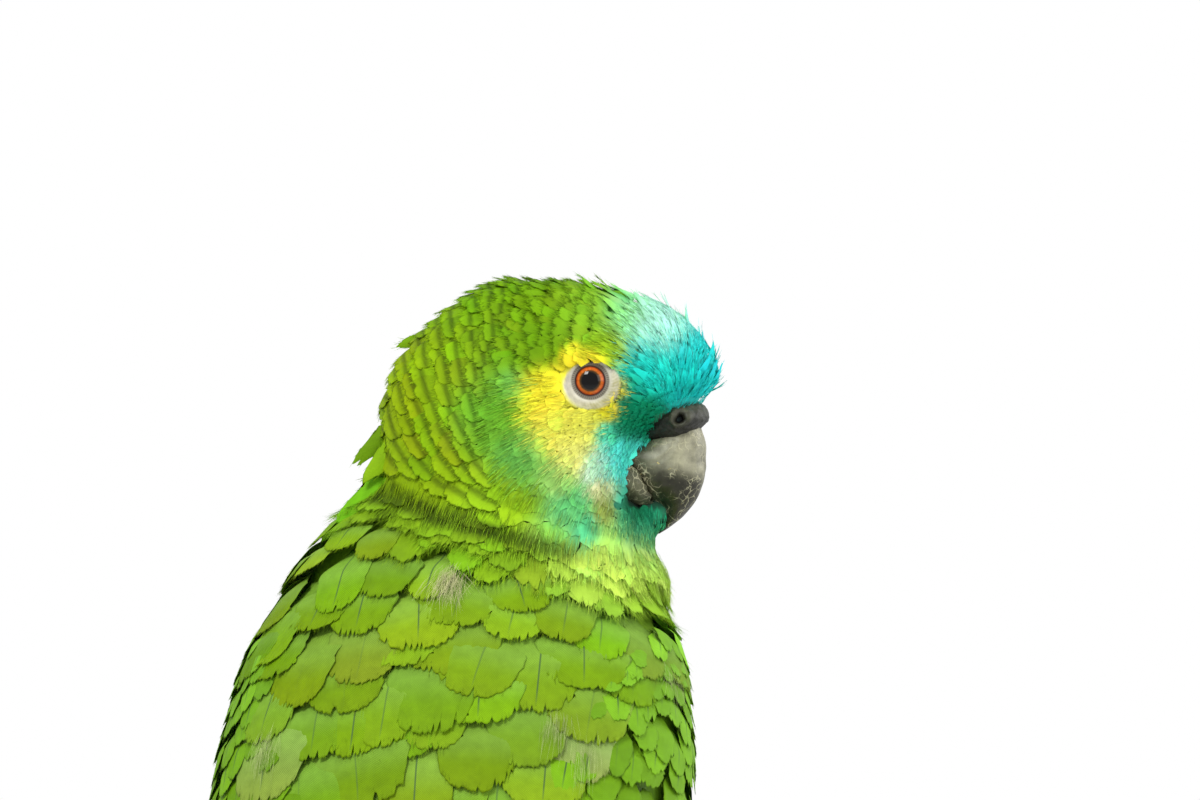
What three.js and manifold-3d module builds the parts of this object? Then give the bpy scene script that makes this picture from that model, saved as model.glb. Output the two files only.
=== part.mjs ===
// A turquoise-fronted amazon parrot, perched upright on a short cut branch and looking over its
// right shoulder. A plain display stand of a round base and two rods carries the branch.
//
// Millimetres, +Z up. The bird's body faces -Y, so its right side is at -X.
// The origin is the centre of the stand's underside.

import * as THREE from 'three';
import { mergeVertices } from 'three/addons/utils/BufferGeometryUtils.js';
import Module from 'manifold-3d';

const manifold = await Module();
manifold.setup();

const { degToRad, lerp, smoothstep } = THREE.MathUtils;

// ---------------------------------------------------------------- driving dimensions

const GAP = 0.3; // clearance between neighbouring pieces

const BASE_RADIUS = 82;
const BASE_HEIGHT = 12;
const BASE_EDGE = 2.5;
const ROD_RADIUS = 4;
const ROD_OFFSET = 50; // each rod's distance from the middle of the perch

const PERCH_RADIUS = 14;
const PERCH_LENGTH = 150;
const PERCH_LEVEL = 130; // height of the branch's middle line
const PERCH_Y = -7;

const TRUNK_LEVEL = 215; // height of the trunk's widest ring
const TRUNK_RISE = 90; // from that ring up to the top of the shoulders
const TRUNK_DROP = 64; // and down to the belly
const TRUNK_HALF_WIDTH = 60;
const BREAST_DEPTH = 48; // forward of the trunk's middle line
const BACK_DEPTH = 42; // behind it
const TRUNK_LEAN = Math.tan(degToRad(20));
const UPRIGHT_LEVEL = 200; // where the leaning middle line crosses Y = 0

const CROWN = 30.5; // heights within the head are measured from its middle
const NECK_FOOT = -62;
const HEAD = new THREE.Vector3(-20.6, -36, 319.5);
const NECK = new THREE.Vector3(-9, -27, HEAD.z);
const HEAD_YAW = degToRad(80); // turned to the bird's right
const SKULL_SHIFT = -10; // the widest part of the head lies behind its middle
const FACE_NARROWING = 0.66;
const COLLAR_UP = -31; // where the head's plumage ends, on the head's upright middle line
const COLLAR_SLOPE = degToRad(16); // down towards the throat
const NECK_HEIGHT = 11; // of the collar's own piece

const EYE_RADIUS = 6.4;
const EYE_FORWARD = 8.9;
const EYE_UP = 4.75;
const EYE_OUT = 13.4; // from the head's middle plane to the eye's centre
const EYE_OPENING = 5.4;
const NOSTRIL_RADIUS = 1.7;

const TAIL_ROOT = new THREE.Vector3(0, 26, 160);
const TAIL_LEAN = degToRad(24); // from straight down
const TAIL_LENGTH = 130;
const TAIL_PARTING = 60; // from the tail's root to where its coverts end

const WING_BEND = new THREE.Vector3(0, -30, 263);
const WING_LEAN = degToRad(28);
const WING_LENGTH = 203;
const WING_PROUD = 1.6; // how far the folded wing stands out from the trunk
const WING_SUNK = 6; // how deep its solid goes into the trunk
const WING_INSET = 4; // the folded wing's solid stops this far from the bird's middle plane
const WING_REACH = 95;

const FOOT_OFFSET = 20; // each foot from the bird's middle plane
const TOE_RADIUS = 3.6;
const CLAW_RADIUS = 2.1;

// ---------------------------------------------------------------- colours

const GREEN = new THREE.MeshStandardMaterial({ color: 0x6f9e12, roughness: 0.75, metalness: 0 });
const YELLOW_GREEN = new THREE.MeshStandardMaterial({ color: 0x9bc11f, roughness: 0.75, metalness: 0 });
const TAIL_GREEN = new THREE.MeshStandardMaterial({ color: 0x5c8f1e, roughness: 0.7, metalness: 0 });
const WING_GREEN = new THREE.MeshStandardMaterial({ color: 0x64930f, roughness: 0.7, metalness: 0 });
const BILL_BLACK = new THREE.MeshStandardMaterial({ color: 0x3b3b37, roughness: 0.45, metalness: 0 });
const CERE_BLACK = new THREE.MeshStandardMaterial({ color: 0x242424, roughness: 0.8, metalness: 0 });
const EYE_ORANGE = new THREE.MeshStandardMaterial({ color: 0xb4511a, roughness: 0.08, metalness: 0 });
const FOOT_GREY = new THREE.MeshStandardMaterial({ color: 0x6d6b66, roughness: 0.85, metalness: 0 });
const CLAW_BLACK = new THREE.MeshStandardMaterial({ color: 0x2c2a28, roughness: 0.4, metalness: 0 });
const BARK = new THREE.MeshStandardMaterial({ color: 0x6f5641, roughness: 0.9, metalness: 0 });
const STEEL = new THREE.MeshStandardMaterial({ color: 0xa9abab, roughness: 0.3, metalness: 1 });
const BASE_WOOD = new THREE.MeshStandardMaterial({ color: 0x4a3222, roughness: 0.5, metalness: 0 });

// ---------------------------------------------------------------- solids and curves

/** A closed three.js geometry as a solid whose faces point out. */
function solidOf(geometry) {
  const bare = geometry.clone();
  bare.deleteAttribute('normal');
  bare.deleteAttribute('uv');
  const merged = mergeVertices(bare);
  const vertProperties = new Float32Array(merged.attributes.position.array);
  const triVerts = new Uint32Array(merged.index.array);
  if (signedVolume(vertProperties, triVerts) < 0) {
    for (let i = 0; i < triVerts.length; i += 3) {
      [triVerts[i], triVerts[i + 1]] = [triVerts[i + 1], triVerts[i]];
    }
  }
  return new manifold.Manifold(new manifold.Mesh({ numProp: 3, vertProperties, triVerts }));
}

function signedVolume(positions, triangles) {
  const [a, b, c] = [new THREE.Vector3(), new THREE.Vector3(), new THREE.Vector3()];
  let volume = 0;
  for (let i = 0; i < triangles.length; i += 3) {
    a.fromArray(positions, 3 * triangles[i]);
    b.fromArray(positions, 3 * triangles[i + 1]);
    c.fromArray(positions, 3 * triangles[i + 2]);
    volume += a.dot(b.cross(c)) / 6;
  }
  return volume;
}

function geometryOf(solid) {
  const { vertProperties, triVerts } = solid.getMesh();
  const geometry = new THREE.BufferGeometry();
  geometry.setAttribute('position', new THREE.BufferAttribute(vertProperties, 3));
  geometry.setIndex(new THREE.BufferAttribute(triVerts, 1));
  geometry.computeVertexNormals();
  return geometry;
}

/** A sphere laid out anew: place(along, angle) gives each point, along running 0 to 1 between the poles. */
function form(sides, rings, place) {
  const geometry = new THREE.SphereGeometry(1, sides, rings);
  const position = geometry.attributes.position;
  for (let i = 0; i < position.count; i += 1) {
    const up = THREE.MathUtils.clamp(position.getY(i), -1, 1);
    const angle = Math.atan2(position.getZ(i), position.getX(i));
    const point = place(Math.acos(up) / Math.PI, angle);
    position.setXYZ(i, point.x, point.y, point.z);
  }
  return solidOf(geometry);
}

/** How far a ring has opened between the poles of a form; a lower power makes blunter ends. */
function opening(along, power) {
  const ring = Math.sin(Math.PI * along);
  return ring < 1e-6 ? 0 : ring ** power;
}

/** A limb of oval section along a curve. size(along) gives the two half-widths, across and through. */
function limb(curve, across, size, sides, rings, bluntness = 0.5) {
  return form(sides, rings, (along, angle) => {
    const reach = (1 - Math.cos(Math.PI * along)) / 2;
    const tangent = curve.getTangent(reach);
    const side = across(reach).clone();
    side.addScaledVector(tangent, -side.dot(tangent)).normalize();
    const through = tangent.clone().cross(side);
    const girth = opening(along, bluntness);
    const [halfAcross, halfThrough] = size(reach);
    return curve
      .getPoint(reach)
      .addScaledVector(side, halfAcross * girth * Math.cos(angle))
      .addScaledVector(through, halfThrough * girth * Math.sin(angle));
  });
}

/** A smooth function through [place, value] pairs, which never overshoots between them. */
function curveThrough(pairs) {
  const keys = [...pairs].sort((first, second) => first[0] - second[0]);
  const slopes = keys.map((key, i) => {
    if (i === 0 || i === keys.length - 1) return 0;
    const before = (key[1] - keys[i - 1][1]) / (key[0] - keys[i - 1][0]);
    const after = (keys[i + 1][1] - key[1]) / (keys[i + 1][0] - key[0]);
    return before * after > 0 ? (2 * before * after) / (before + after) : 0;
  });
  return (place) => {
    const last = keys.length - 1;
    if (place <= keys[0][0]) return keys[0][1];
    if (place >= keys[last][0]) return keys[last][1];
    const i = keys.findIndex((key) => key[0] > place) - 1;
    const width = keys[i + 1][0] - keys[i][0];
    const t = (place - keys[i][0]) / width;
    return (
      keys[i][1] * (1 + 2 * t) * (1 - t) ** 2 +
      slopes[i] * width * t * (1 - t) ** 2 +
      keys[i + 1][1] * t ** 2 * (3 - 2 * t) +
      slopes[i + 1] * width * t ** 2 * (t - 1)
    );
  };
}

/** A bent line through a few points in space. */
function bentLine(points) {
  return new THREE.CatmullRomCurve3(points.map((point) => new THREE.Vector3(...point)));
}

/** The part of a solid on the side of a plane that its normal points to. */
function beyond(solid, normal, point, distance) {
  return solid.trimByPlane(normal.toArray(), normal.dot(point) + distance);
}

// ---------------------------------------------------------------- trunk, rump and tail

const trunkMiddle = (z) => -(z - UPRIGHT_LEVEL) * TRUNK_LEAN;

function trunkForm(grow, sides = 24, rings = 16) {
  return form(sides, rings, (along, angle) => {
    const up = Math.cos(Math.PI * along);
    const girth = opening(along, up > 0 ? 0.82 : 1);
    const z = TRUNK_LEVEL + up * ((up > 0 ? TRUNK_RISE : TRUNK_DROP) + grow);
    const depth = (Math.cos(angle) > 0 ? BACK_DEPTH : BREAST_DEPTH) + grow;
    return new THREE.Vector3(
      (TRUNK_HALF_WIDTH + grow) * girth * Math.sin(angle),
      trunkMiddle(z) + depth * girth * Math.cos(angle),
      z,
    );
  });
}

const tailDirection = new THREE.Vector3(0, Math.sin(TAIL_LEAN), -Math.cos(TAIL_LEAN));
const tailPoint = (distance) => TAIL_ROOT.clone().addScaledVector(tailDirection, distance);
const sideways = () => new THREE.Vector3(1, 0, 0);

function rumpForm(grow, sides = 16, rings = 8) {
  const halfWidth = curveThrough([[0, 40], [0.35, 37], [0.65, 28], [1, 17]]);
  const halfDepth = curveThrough([[0, 30], [0.35, 24], [0.65, 15], [1, 5]]);
  const line = new THREE.LineCurve3(tailPoint(-45), tailPoint(TAIL_PARTING + 16));
  const size = (reach) => [halfWidth(reach) + grow, halfDepth(reach) + grow];
  return limb(line, sideways, size, sides, rings);
}

function tailForm(grow) {
  const halfWidth = curveThrough([[0, 12], [0.4, 19], [0.8, 24], [1, 23]]);
  const halfDepth = curveThrough([[0, 6], [0.4, 4.2], [0.8, 2.4], [1, 2]]);
  const line = new THREE.LineCurve3(tailPoint(10), tailPoint(TAIL_LENGTH));
  const size = (reach) => [halfWidth(reach) + grow, halfDepth(reach) + grow];
  return limb(line, sideways, size, 16, 8, 0.3);
}

// ---------------------------------------------------------------- head and neck

const headForward = new THREE.Vector3(-Math.sin(HEAD_YAW), -Math.cos(HEAD_YAW), 0);
const headRight = new THREE.Vector3(-Math.cos(HEAD_YAW), Math.sin(HEAD_YAW), 0);

/** A point of the head, given forward of, above and to the right of the head's middle. */
function onHead(forward, up, right = 0) {
  return HEAD.clone()
    .addScaledVector(headForward, forward)
    .addScaledVector(headRight, right)
    .setZ(HEAD.z + up);
}

const faceLength = curveThrough([
  [CROWN, 44], [24, 55], [10, 55.5], [4, 53.5], [-1, 47], [-6, 37.5], [-12, 29.5], [-20, 29],
  [-27, 36.8], [-36, 42], [-46, 54.5], [-53, 65], [NECK_FOOT, 65],
]);
const napeLength = curveThrough([
  [CROWN, 20], [24, 26], [10, 34.6], [-2, 36.3], [-14, 34.3], [-22, 35], [-30, 38], [NECK_FOOT, 42],
]);
const headHalfWidth = curveThrough([
  [CROWN, 25.5], [24, 26.8], [10, 26.3], [-20, 26.3], [-30, 29], [-40, 35], [NECK_FOOT, 42],
]);

/** How wide the head still is, on the way from its widest part (0) to the front of the face (1). */
function faceWidth(reach) {
  const narrowing = (FACE_NARROWING * reach ** 2) / (reach + 0.25);
  return (1 - narrowing) * Math.sqrt(Math.max(1 - reach ** 6, 0));
}

/** The head and neck, from the crown down into the trunk. The face narrows towards the bill. */
function headForm() {
  const middle = (CROWN + NECK_FOOT) / 2;
  const halfHeight = (CROWN - NECK_FOOT) / 2;
  return form(24, 20, (along, angle) => {
    const up = middle + halfHeight * Math.cos(Math.PI * along);
    const girth = opening(along, 0.6);
    const asNeck = smoothstep(-up, 25, 60);
    const roundness = smoothstep(-up, 8, 25);
    const reach = Math.cos(angle);
    const length = reach > 0 ? faceLength(up) : napeLength(up);
    const oval = Math.abs(Math.sin(angle));
    const width = reach > 0 ? lerp(faceWidth(reach), oval, roundness) : oval;
    const middlePoint = HEAD.clone().lerp(NECK, asNeck);
    return middlePoint
      .addScaledVector(headForward, SKULL_SHIFT + length * girth * reach)
      .addScaledVector(headRight, headHalfWidth(up) * girth * width * Math.sign(Math.sin(angle)))
      .setZ(HEAD.z + up);
  });
}

function eyeForm(side, grow) {
  const centre = onHead(EYE_FORWARD, EYE_UP, side * EYE_OUT);
  const geometry = new THREE.SphereGeometry(EYE_RADIUS + grow, 12, 8);
  geometry.translate(centre.x, centre.y, centre.z);
  return solidOf(geometry);
}

/** The round opening between the lids, from the eye's centre outwards. */
function eyeOpening(side) {
  const depth = 20;
  const geometry = new THREE.CylinderGeometry(EYE_OPENING, EYE_OPENING, depth, 14);
  const out = headRight.clone().multiplyScalar(side);
  geometry.applyQuaternion(new THREE.Quaternion().setFromUnitVectors(new THREE.Vector3(0, 1, 0), out));
  const centre = onHead(EYE_FORWARD, EYE_UP, side * (EYE_OUT + depth / 2));
  geometry.translate(centre.x, centre.y, centre.z);
  return solidOf(geometry);
}

// ---------------------------------------------------------------- bill and cere

/** A horn whose section spans from an outer to an inner line, both in the head's middle plane. */
function hornForm(outer, inner, halfWidth, grow, sides, rings) {
  return form(sides, rings, (along, angle) => {
    const reach = (1 - Math.cos(Math.PI * along)) / 2;
    const top = outer.getPoint(reach);
    const bottom = inner.getPoint(reach);
    const centre = top.clone().add(bottom).multiplyScalar(0.5);
    const half = top.clone().sub(bottom).multiplyScalar(0.5);
    const girth = opening(along, 0.5);
    half.setLength(half.length() + grow);
    centre.addScaledVector(half, girth * Math.cos(angle));
    const width = (halfWidth(reach) + grow) * girth * Math.sin(angle);
    return onHead(centre.x, centre.y, width);
  });
}

function upperBillForm(grow) {
  const culmen = bentLine([
    [8, -9.6, 0], [24, -9.6, 0], [32.6, -8.8, 0], [36.3, -13.4, 0],
    [35.4, -21.5, 0], [31.4, -29, 0], [24.3, -34, 0],
  ]);
  const cuttingEdge = bentLine([
    [8, -14, 0], [17.5, -20, 0], [20, -24.8, 0], [23.5, -25.6, 0],
    [25.6, -26.6, 0], [26, -30, 0], [24.1, -33.8, 0],
  ]);
  const halfWidth = curveThrough([[0, 8.6], [0.35, 9.2], [0.6, 7.6], [0.8, 4.4], [1, 1.4]]);
  return hornForm(culmen, cuttingEdge, halfWidth, grow, 12, 14);
}

function lowerBillForm(grow) {
  const edge = bentLine([[4, -13, 0], [14, -11.5, 0], [21, -15, 0], [27.5, -21.5, 0]]);
  const gonys = bentLine([[4, -20, 0], [13, -25, 0], [21, -27.4, 0], [27, -24.5, 0]]);
  const halfWidth = curveThrough([[0, 9.4], [0.5, 9.6], [0.8, 7.6], [1, 4]]);
  return hornForm(edge, gonys, halfWidth, grow, 12, 7);
}

function cereForm(grow) {
  const [length, height, width] = [7.6, 5.5, 9.6];
  return form(12, 7, (along, angle) => {
    const girth = opening(along, 1);
    return onHead(
      29 + (length + grow) * girth * Math.cos(angle),
      -5.6 + (height + grow) * Math.cos(Math.PI * along),
      (width + grow) * girth * Math.sin(angle),
    );
  });
}

function nostril(side) {
  const geometry = new THREE.SphereGeometry(NOSTRIL_RADIUS, 7, 5);
  const centre = onHead(30.4, -4.9, side * 9.2);
  geometry.translate(centre.x, centre.y, centre.z);
  return solidOf(geometry);
}

// ---------------------------------------------------------------- wings

const wingDirection = new THREE.Vector3(0, Math.sin(WING_LEAN), -Math.cos(WING_LEAN));
const wingBackward = new THREE.Vector3(0, Math.cos(WING_LEAN), Math.sin(WING_LEAN));

/** The folded wing's outline seen from the side, extruded sideways through the trunk. */
function wingOutline(side, grow) {
  const outline = new THREE.Shape();
  outline.moveTo(-grow, 0);
  outline.bezierCurveTo(2 - grow, -24 - grow, 40, -27 - grow, 90, -21 - grow);
  outline.bezierCurveTo(125, -17 - grow, 160, -6 - grow, 174 + grow, 2);
  outline.bezierCurveTo(160, 18 + grow, 132, 33 + grow, 96, 34 + grow);
  outline.bezierCurveTo(48, 34 + grow, 2 - grow, 30 + grow, -grow, 0);
  const geometry = new THREE.ExtrudeGeometry(outline, {
    depth: WING_REACH - WING_INSET,
    bevelEnabled: false,
    curveSegments: 5,
  });
  const outward = new THREE.Vector3(side, 0, 0);
  geometry.applyMatrix4(new THREE.Matrix4().makeBasis(wingDirection, wingBackward, outward));
  geometry.translate(side * WING_INSET, WING_BEND.y, WING_BEND.z);
  return solidOf(geometry);
}

/** The long flight feathers, which run on past the trunk and close over the tail. */
function primariesForm(side, grow) {
  const onWing = (along, across, out) => {
    const point = WING_BEND.clone().addScaledVector(wingDirection, along);
    return point.addScaledVector(wingBackward, across).setX(side * out);
  };
  const line = new THREE.CatmullRomCurve3([
    onWing(70, 6, 54), onWing(105, 7, 42), onWing(140, 8, 29),
    onWing(175, 7, 17), onWing(WING_LENGTH, 5, 7),
  ]);
  const across = (reach) => wingBackward.clone().setX(-side * lerp(0, 0.9, reach)).normalize();
  const halfAcross = curveThrough([[0, 18], [0.4, 20], [0.8, 14], [1, 7]]);
  const halfThrough = curveThrough([[0, 4], [0.6, 3], [1, 1.3]]);
  const size = (reach) => [halfAcross(reach) + grow, halfThrough(reach) + grow];
  return limb(line, across, size, 10, 9);
}

// ---------------------------------------------------------------- legs and feet

function thighForm(side, grow) {
  const ankle = [side * FOOT_OFFSET, PERCH_Y + 6, PERCH_LEVEL + 28];
  const line = bentLine([[side * 25, -6, 188], [side * 23, -4, 175], ankle]);
  const radius = curveThrough([[0, 17], [0.5, 15.5], [1, 7.5]]);
  return limb(line, sideways, (reach) => [radius(reach) + grow, radius(reach) + grow], 14, 9);
}

function shankForm(side, grow) {
  const x = side * FOOT_OFFSET;
  const line = bentLine([[x, PERCH_Y + 10, 170], [x, PERCH_Y + 6, 160], [x, PERCH_Y, 149]]);
  return limb(line, sideways, () => [4.6 + grow, 4.2 + grow], 10, 6, 0.3);
}

// Each toe: where it leaves the foot, how far it spreads, and how far round the branch it goes.
// A turn forwards is positive. Two toes point forwards and two backwards, as on every parrot.
const TOES = {
  inner_front: { start: -3.5, spread: -5, turn: degToRad(78) },
  outer_front: { start: 4, spread: 5, turn: degToRad(100) },
  inner_back: { start: -3.5, spread: -5, turn: degToRad(-52) },
  outer_back: { start: 4, spread: 4, turn: degToRad(-92) },
};

/** A point round the branch, turned forwards from its top, at a height over its bark. */
function overPerch(x, turn, height) {
  const radius = PERCH_RADIUS + height;
  return new THREE.Vector3(x, PERCH_Y - radius * Math.sin(turn), PERCH_LEVEL + radius * Math.cos(turn));
}

function toeForm(side, toe) {
  const line = new THREE.CatmullRomCurve3(
    [0, 0.25, 0.5, 0.75, 1].map((reach) => {
      const x = side * (FOOT_OFFSET + toe.start + toe.spread * reach);
      return overPerch(x, toe.turn * reach, TOE_RADIUS);
    }),
  );
  const radius = curveThrough([[0, TOE_RADIUS + 0.4], [0.6, TOE_RADIUS - 0.2], [1, TOE_RADIUS - 0.7]]);
  return limb(line, sideways, (reach) => [radius(reach), radius(reach)], 7, 6, 0.3);
}

/** A curved claw that goes on from the toe's end and comes down onto the bark. */
function clawForm(side, toe) {
  const end = FOOT_OFFSET + toe.start + toe.spread;
  const onward = Math.sign(toe.turn);
  const line = new THREE.CatmullRomCurve3(
    [0, 0.35, 0.7, 1].map((reach) => {
      const x = side * (end + 0.3 * toe.spread * reach);
      const turn = toe.turn + onward * (degToRad(1.5) + degToRad(40) * reach);
      return overPerch(x, turn, lerp(3.9, 1.3, reach ** 1.5) + 1.2 * Math.sin(Math.PI * reach));
    }),
  );
  const radius = (reach) => lerp(CLAW_RADIUS, 0.5, reach);
  return limb(line, sideways, (reach) => [radius(reach), 1.15 * radius(reach)], 6, 6, 0.4);
}

function footPad(side) {
  const geometry = new THREE.SphereGeometry(1, 10, 6);
  geometry.scale(8, 7, 5);
  geometry.translate(side * FOOT_OFFSET, PERCH_Y, PERCH_LEVEL + PERCH_RADIUS + 3.6);
  return solidOf(geometry);
}

// ---------------------------------------------------------------- perch and stand

/** A cut branch with a slow bend in its bark and a swelling where a twig was. */
function perchForm(grow) {
  const rings = 8;
  const radiusTop = PERCH_RADIUS + grow;
  const geometry = new THREE.CylinderGeometry(radiusTop, radiusTop, PERCH_LENGTH + 2 * grow, 16, rings);
  const position = geometry.attributes.position;
  for (let i = 0; i < position.count; i += 1) {
    const along = position.getY(i) / PERCH_LENGTH;
    const knot = Math.exp(-(((along - 0.4) / 0.05) ** 2)) + Math.exp(-(((along + 0.37) / 0.04) ** 2));
    const swell = 1 + 0.1 * knot;
    position.setX(i, position.getX(i) * swell);
    position.setZ(i, position.getZ(i) * swell);
  }
  geometry.rotateZ(Math.PI / 2);
  geometry.translate(0, PERCH_Y, PERCH_LEVEL);
  return solidOf(geometry);
}

function rodForm(side) {
  const bottom = BASE_HEIGHT + GAP;
  const height = PERCH_LEVEL - bottom;
  const geometry = new THREE.CylinderGeometry(ROD_RADIUS, ROD_RADIUS, height, 16);
  geometry.rotateX(Math.PI / 2);
  geometry.translate(side * ROD_OFFSET, PERCH_Y, bottom + height / 2);
  return solidOf(geometry);
}

function baseForm() {
  const profile = [
    new THREE.Vector2(0, 0),
    new THREE.Vector2(BASE_RADIUS, 0),
    new THREE.Vector2(BASE_RADIUS, BASE_HEIGHT - BASE_EDGE),
    new THREE.Vector2(BASE_RADIUS - 0.3 * BASE_EDGE, BASE_HEIGHT - 0.3 * BASE_EDGE),
    new THREE.Vector2(BASE_RADIUS - BASE_EDGE, BASE_HEIGHT),
    new THREE.Vector2(0, BASE_HEIGHT),
  ];
  const geometry = new THREE.LatheGeometry(profile, 30);
  geometry.rotateX(Math.PI / 2);
  return solidOf(geometry);
}

// ---------------------------------------------------------------- the parrot, put together

const parrot = new THREE.Group();

function addNode(name, solid, material) {
  const mesh = new THREE.Mesh(geometryOf(solid), material);
  mesh.name = name;
  parrot.add(mesh);
}

const SIDES = { right: -1, left: 1 };
const perchClear = perchForm(GAP);

// The bird's flesh and feathers as one form, before it is parted.
const whole = trunkForm(0).add(rumpForm(0)).add(tailForm(0)).add(headForm());
const trunkClear = trunkForm(GAP).add(rumpForm(GAP));
const trunkCore = trunkForm(-WING_SUNK, 12, 9).add(rumpForm(-WING_SUNK, 12, 6));
const wingBed = trunkForm(GAP - WING_SUNK, 12, 9).add(rumpForm(GAP - WING_SUNK, 12, 6));
const wingShell = trunkForm(WING_PROUD).add(rumpForm(WING_PROUD));

// Thin cuts part the head, neck, trunk and tail.
const collar = headForward.clone().multiplyScalar(Math.sin(COLLAR_SLOPE)).setZ(Math.cos(COLLAR_SLOPE));
const collarPoint = onHead(0, COLLAR_UP);

let head = beyond(whole, collar, collarPoint, GAP / 2);
for (const side of [-1, 1]) {
  head = head.subtract(eyeForm(side, GAP)).subtract(eyeOpening(side));
}
head = head.subtract(cereForm(GAP)).subtract(upperBillForm(GAP)).subtract(lowerBillForm(GAP));
addNode('head', head, GREEN);

const belowCollar = beyond(whole, collar.clone().negate(), collarPoint, GAP / 2);
addNode('neck', beyond(belowCollar, collar, collarPoint, -NECK_HEIGHT), YELLOW_GREEN);

let trunk = beyond(whole, collar.clone().negate(), collarPoint, NECK_HEIGHT + GAP);
trunk = beyond(trunk, tailDirection.clone().negate(), tailPoint(TAIL_PARTING), 0);
for (const side of [-1, 1]) {
  trunk = trunk.subtract(wingOutline(side, GAP).subtract(trunkCore));
  trunk = trunk.subtract(primariesForm(side, GAP));
}
addNode('trunk', trunk.subtract(perchClear), GREEN);

const tail = beyond(whole, tailDirection, tailPoint(TAIL_PARTING), GAP);
addNode('tail', tail, TAIL_GREEN);

for (const [name, side] of Object.entries(SIDES)) {
  const shell = wingShell.intersect(wingOutline(side, 0)).subtract(wingBed);
  const primaries = primariesForm(side, 0).subtract(trunkClear).subtract(tailForm(GAP));
  addNode(`wing_${name}`, shell.add(primaries), WING_GREEN);
}

// The bill closes with the lower half inside the upper one.
const upperBill = upperBillForm(0);
const lowerBill = lowerBillForm(0).subtract(upperBillForm(GAP));
let cere = cereForm(0).subtract(upperBillForm(GAP));
for (const side of [-1, 1]) {
  cere = cere.subtract(nostril(side));
}
addNode('bill_upper', upperBill, BILL_BLACK);
addNode('bill_lower', lowerBill, BILL_BLACK);
addNode('cere', cere, CERE_BLACK);

for (const [name, side] of Object.entries(SIDES)) {
  // A side of the head is to the right of the head's own middle plane when it is +1.
  addNode(`eye_${name}`, eyeForm(-side, 0), EYE_ORANGE);

  const thigh = thighForm(side, 0).subtract(trunkClear).subtract(perchClear);
  const shank = shankForm(side, 0).subtract(trunkClear).subtract(thighForm(side, GAP));
  addNode(`thigh_${name}`, thigh, YELLOW_GREEN);
  addNode(`shank_${name}`, shank.subtract(perchClear), FOOT_GREY);

  let foot = footPad(side);
  for (const toe of Object.values(TOES)) {
    foot = foot.add(toeForm(side, toe));
  }
  for (const [toeName, toe] of Object.entries(TOES)) {
    const claw = clawForm(side, toe);
    foot = foot.subtract(claw);
    addNode(`claw_${name}_${toeName}`, claw, CLAW_BLACK);
  }
  foot = foot.subtract(perchClear).subtract(shankForm(side, GAP)).subtract(thighForm(side, GAP));
  addNode(`foot_${name}`, foot.subtract(trunkClear), FOOT_GREY);
}

addNode('perch', perchForm(0), BARK);
addNode('stand_base', baseForm(), BASE_WOOD);
for (const [name, side] of Object.entries(SIDES)) {
  addNode(`stand_rod_${name}`, rodForm(side).subtract(perchClear), STEEL);
}

export default parrot;
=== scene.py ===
"""The looks of a turquoise-fronted amazon parrot on a short perch and a plain display stand.

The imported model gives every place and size. One skin stands for the bird's flesh, and its plumage is
solid mesh: closed vanes that are laid over that skin along the lie of the coat. Metres, +Z up; the
body faces -Y and the head is turned to the bird's right.
"""

import math

import bmesh
import bpy
import numpy as np
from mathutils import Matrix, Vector, kdtree
from mathutils import noise as noise_field
from mathutils.bvhtree import BVHTree


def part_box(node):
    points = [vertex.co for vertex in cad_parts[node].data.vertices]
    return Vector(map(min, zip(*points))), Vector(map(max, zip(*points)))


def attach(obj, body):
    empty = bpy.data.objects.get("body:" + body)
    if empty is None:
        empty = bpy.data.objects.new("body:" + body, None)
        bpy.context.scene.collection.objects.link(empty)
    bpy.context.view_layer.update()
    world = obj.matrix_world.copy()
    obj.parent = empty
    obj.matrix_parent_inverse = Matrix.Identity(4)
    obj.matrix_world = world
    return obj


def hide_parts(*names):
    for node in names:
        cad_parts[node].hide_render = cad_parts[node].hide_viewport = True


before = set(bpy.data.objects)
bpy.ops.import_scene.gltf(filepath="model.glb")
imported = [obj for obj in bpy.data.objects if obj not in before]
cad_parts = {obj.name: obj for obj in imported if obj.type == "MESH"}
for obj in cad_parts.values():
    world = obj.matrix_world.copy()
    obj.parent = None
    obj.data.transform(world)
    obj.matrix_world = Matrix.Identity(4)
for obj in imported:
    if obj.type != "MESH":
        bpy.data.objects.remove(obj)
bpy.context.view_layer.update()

MM = 0.001
UP = np.array([0.0, 0.0, 1.0])
SIDES = {"right": -1.0, "left": 1.0}
TOES = ("inner_front", "outer_front", "inner_back", "outer_back")
rng = np.random.default_rng(11)


# ---------- small helpers

def unit(v):
    """Vectors of length one, along the last axis."""
    v = np.asarray(v, float)
    return v / np.maximum(np.linalg.norm(v, axis=-1, keepdims=True), 1e-12)


def ramp(low, high, value):
    """0 below low, 1 above high and a smooth step between; low may be the larger one."""
    t = np.clip((np.asarray(value, float) - low) / (high - low), 0.0, 1.0)
    return t * t * (3.0 - 2.0 * t)


def mix(a, b, t):
    return a + (b - a) * t


def linear(red, green, blue):
    """A colour written as 0-255 screen values, as the linear values that shaders use."""
    c = np.array([red, green, blue], float) / 255.0
    return np.where(c <= 0.04045, c / 12.92, ((c + 0.055) / 1.055) ** 2.4)


def tinted(colour, other, share):
    """Colours mixed with another one, by a share for each point."""
    return mix(colour, other, share[..., None])


def varied(size, by):
    """Random factors round 1."""
    return 1 + by * rng.normal(size=size)


def middle_of(node):
    low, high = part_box(node)
    return np.array((low + high) / 2)


def across(normal, direction):
    """The direction square to both."""
    return unit(np.cross(normal, direction))


# ---------- the bird's own frames

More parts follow.
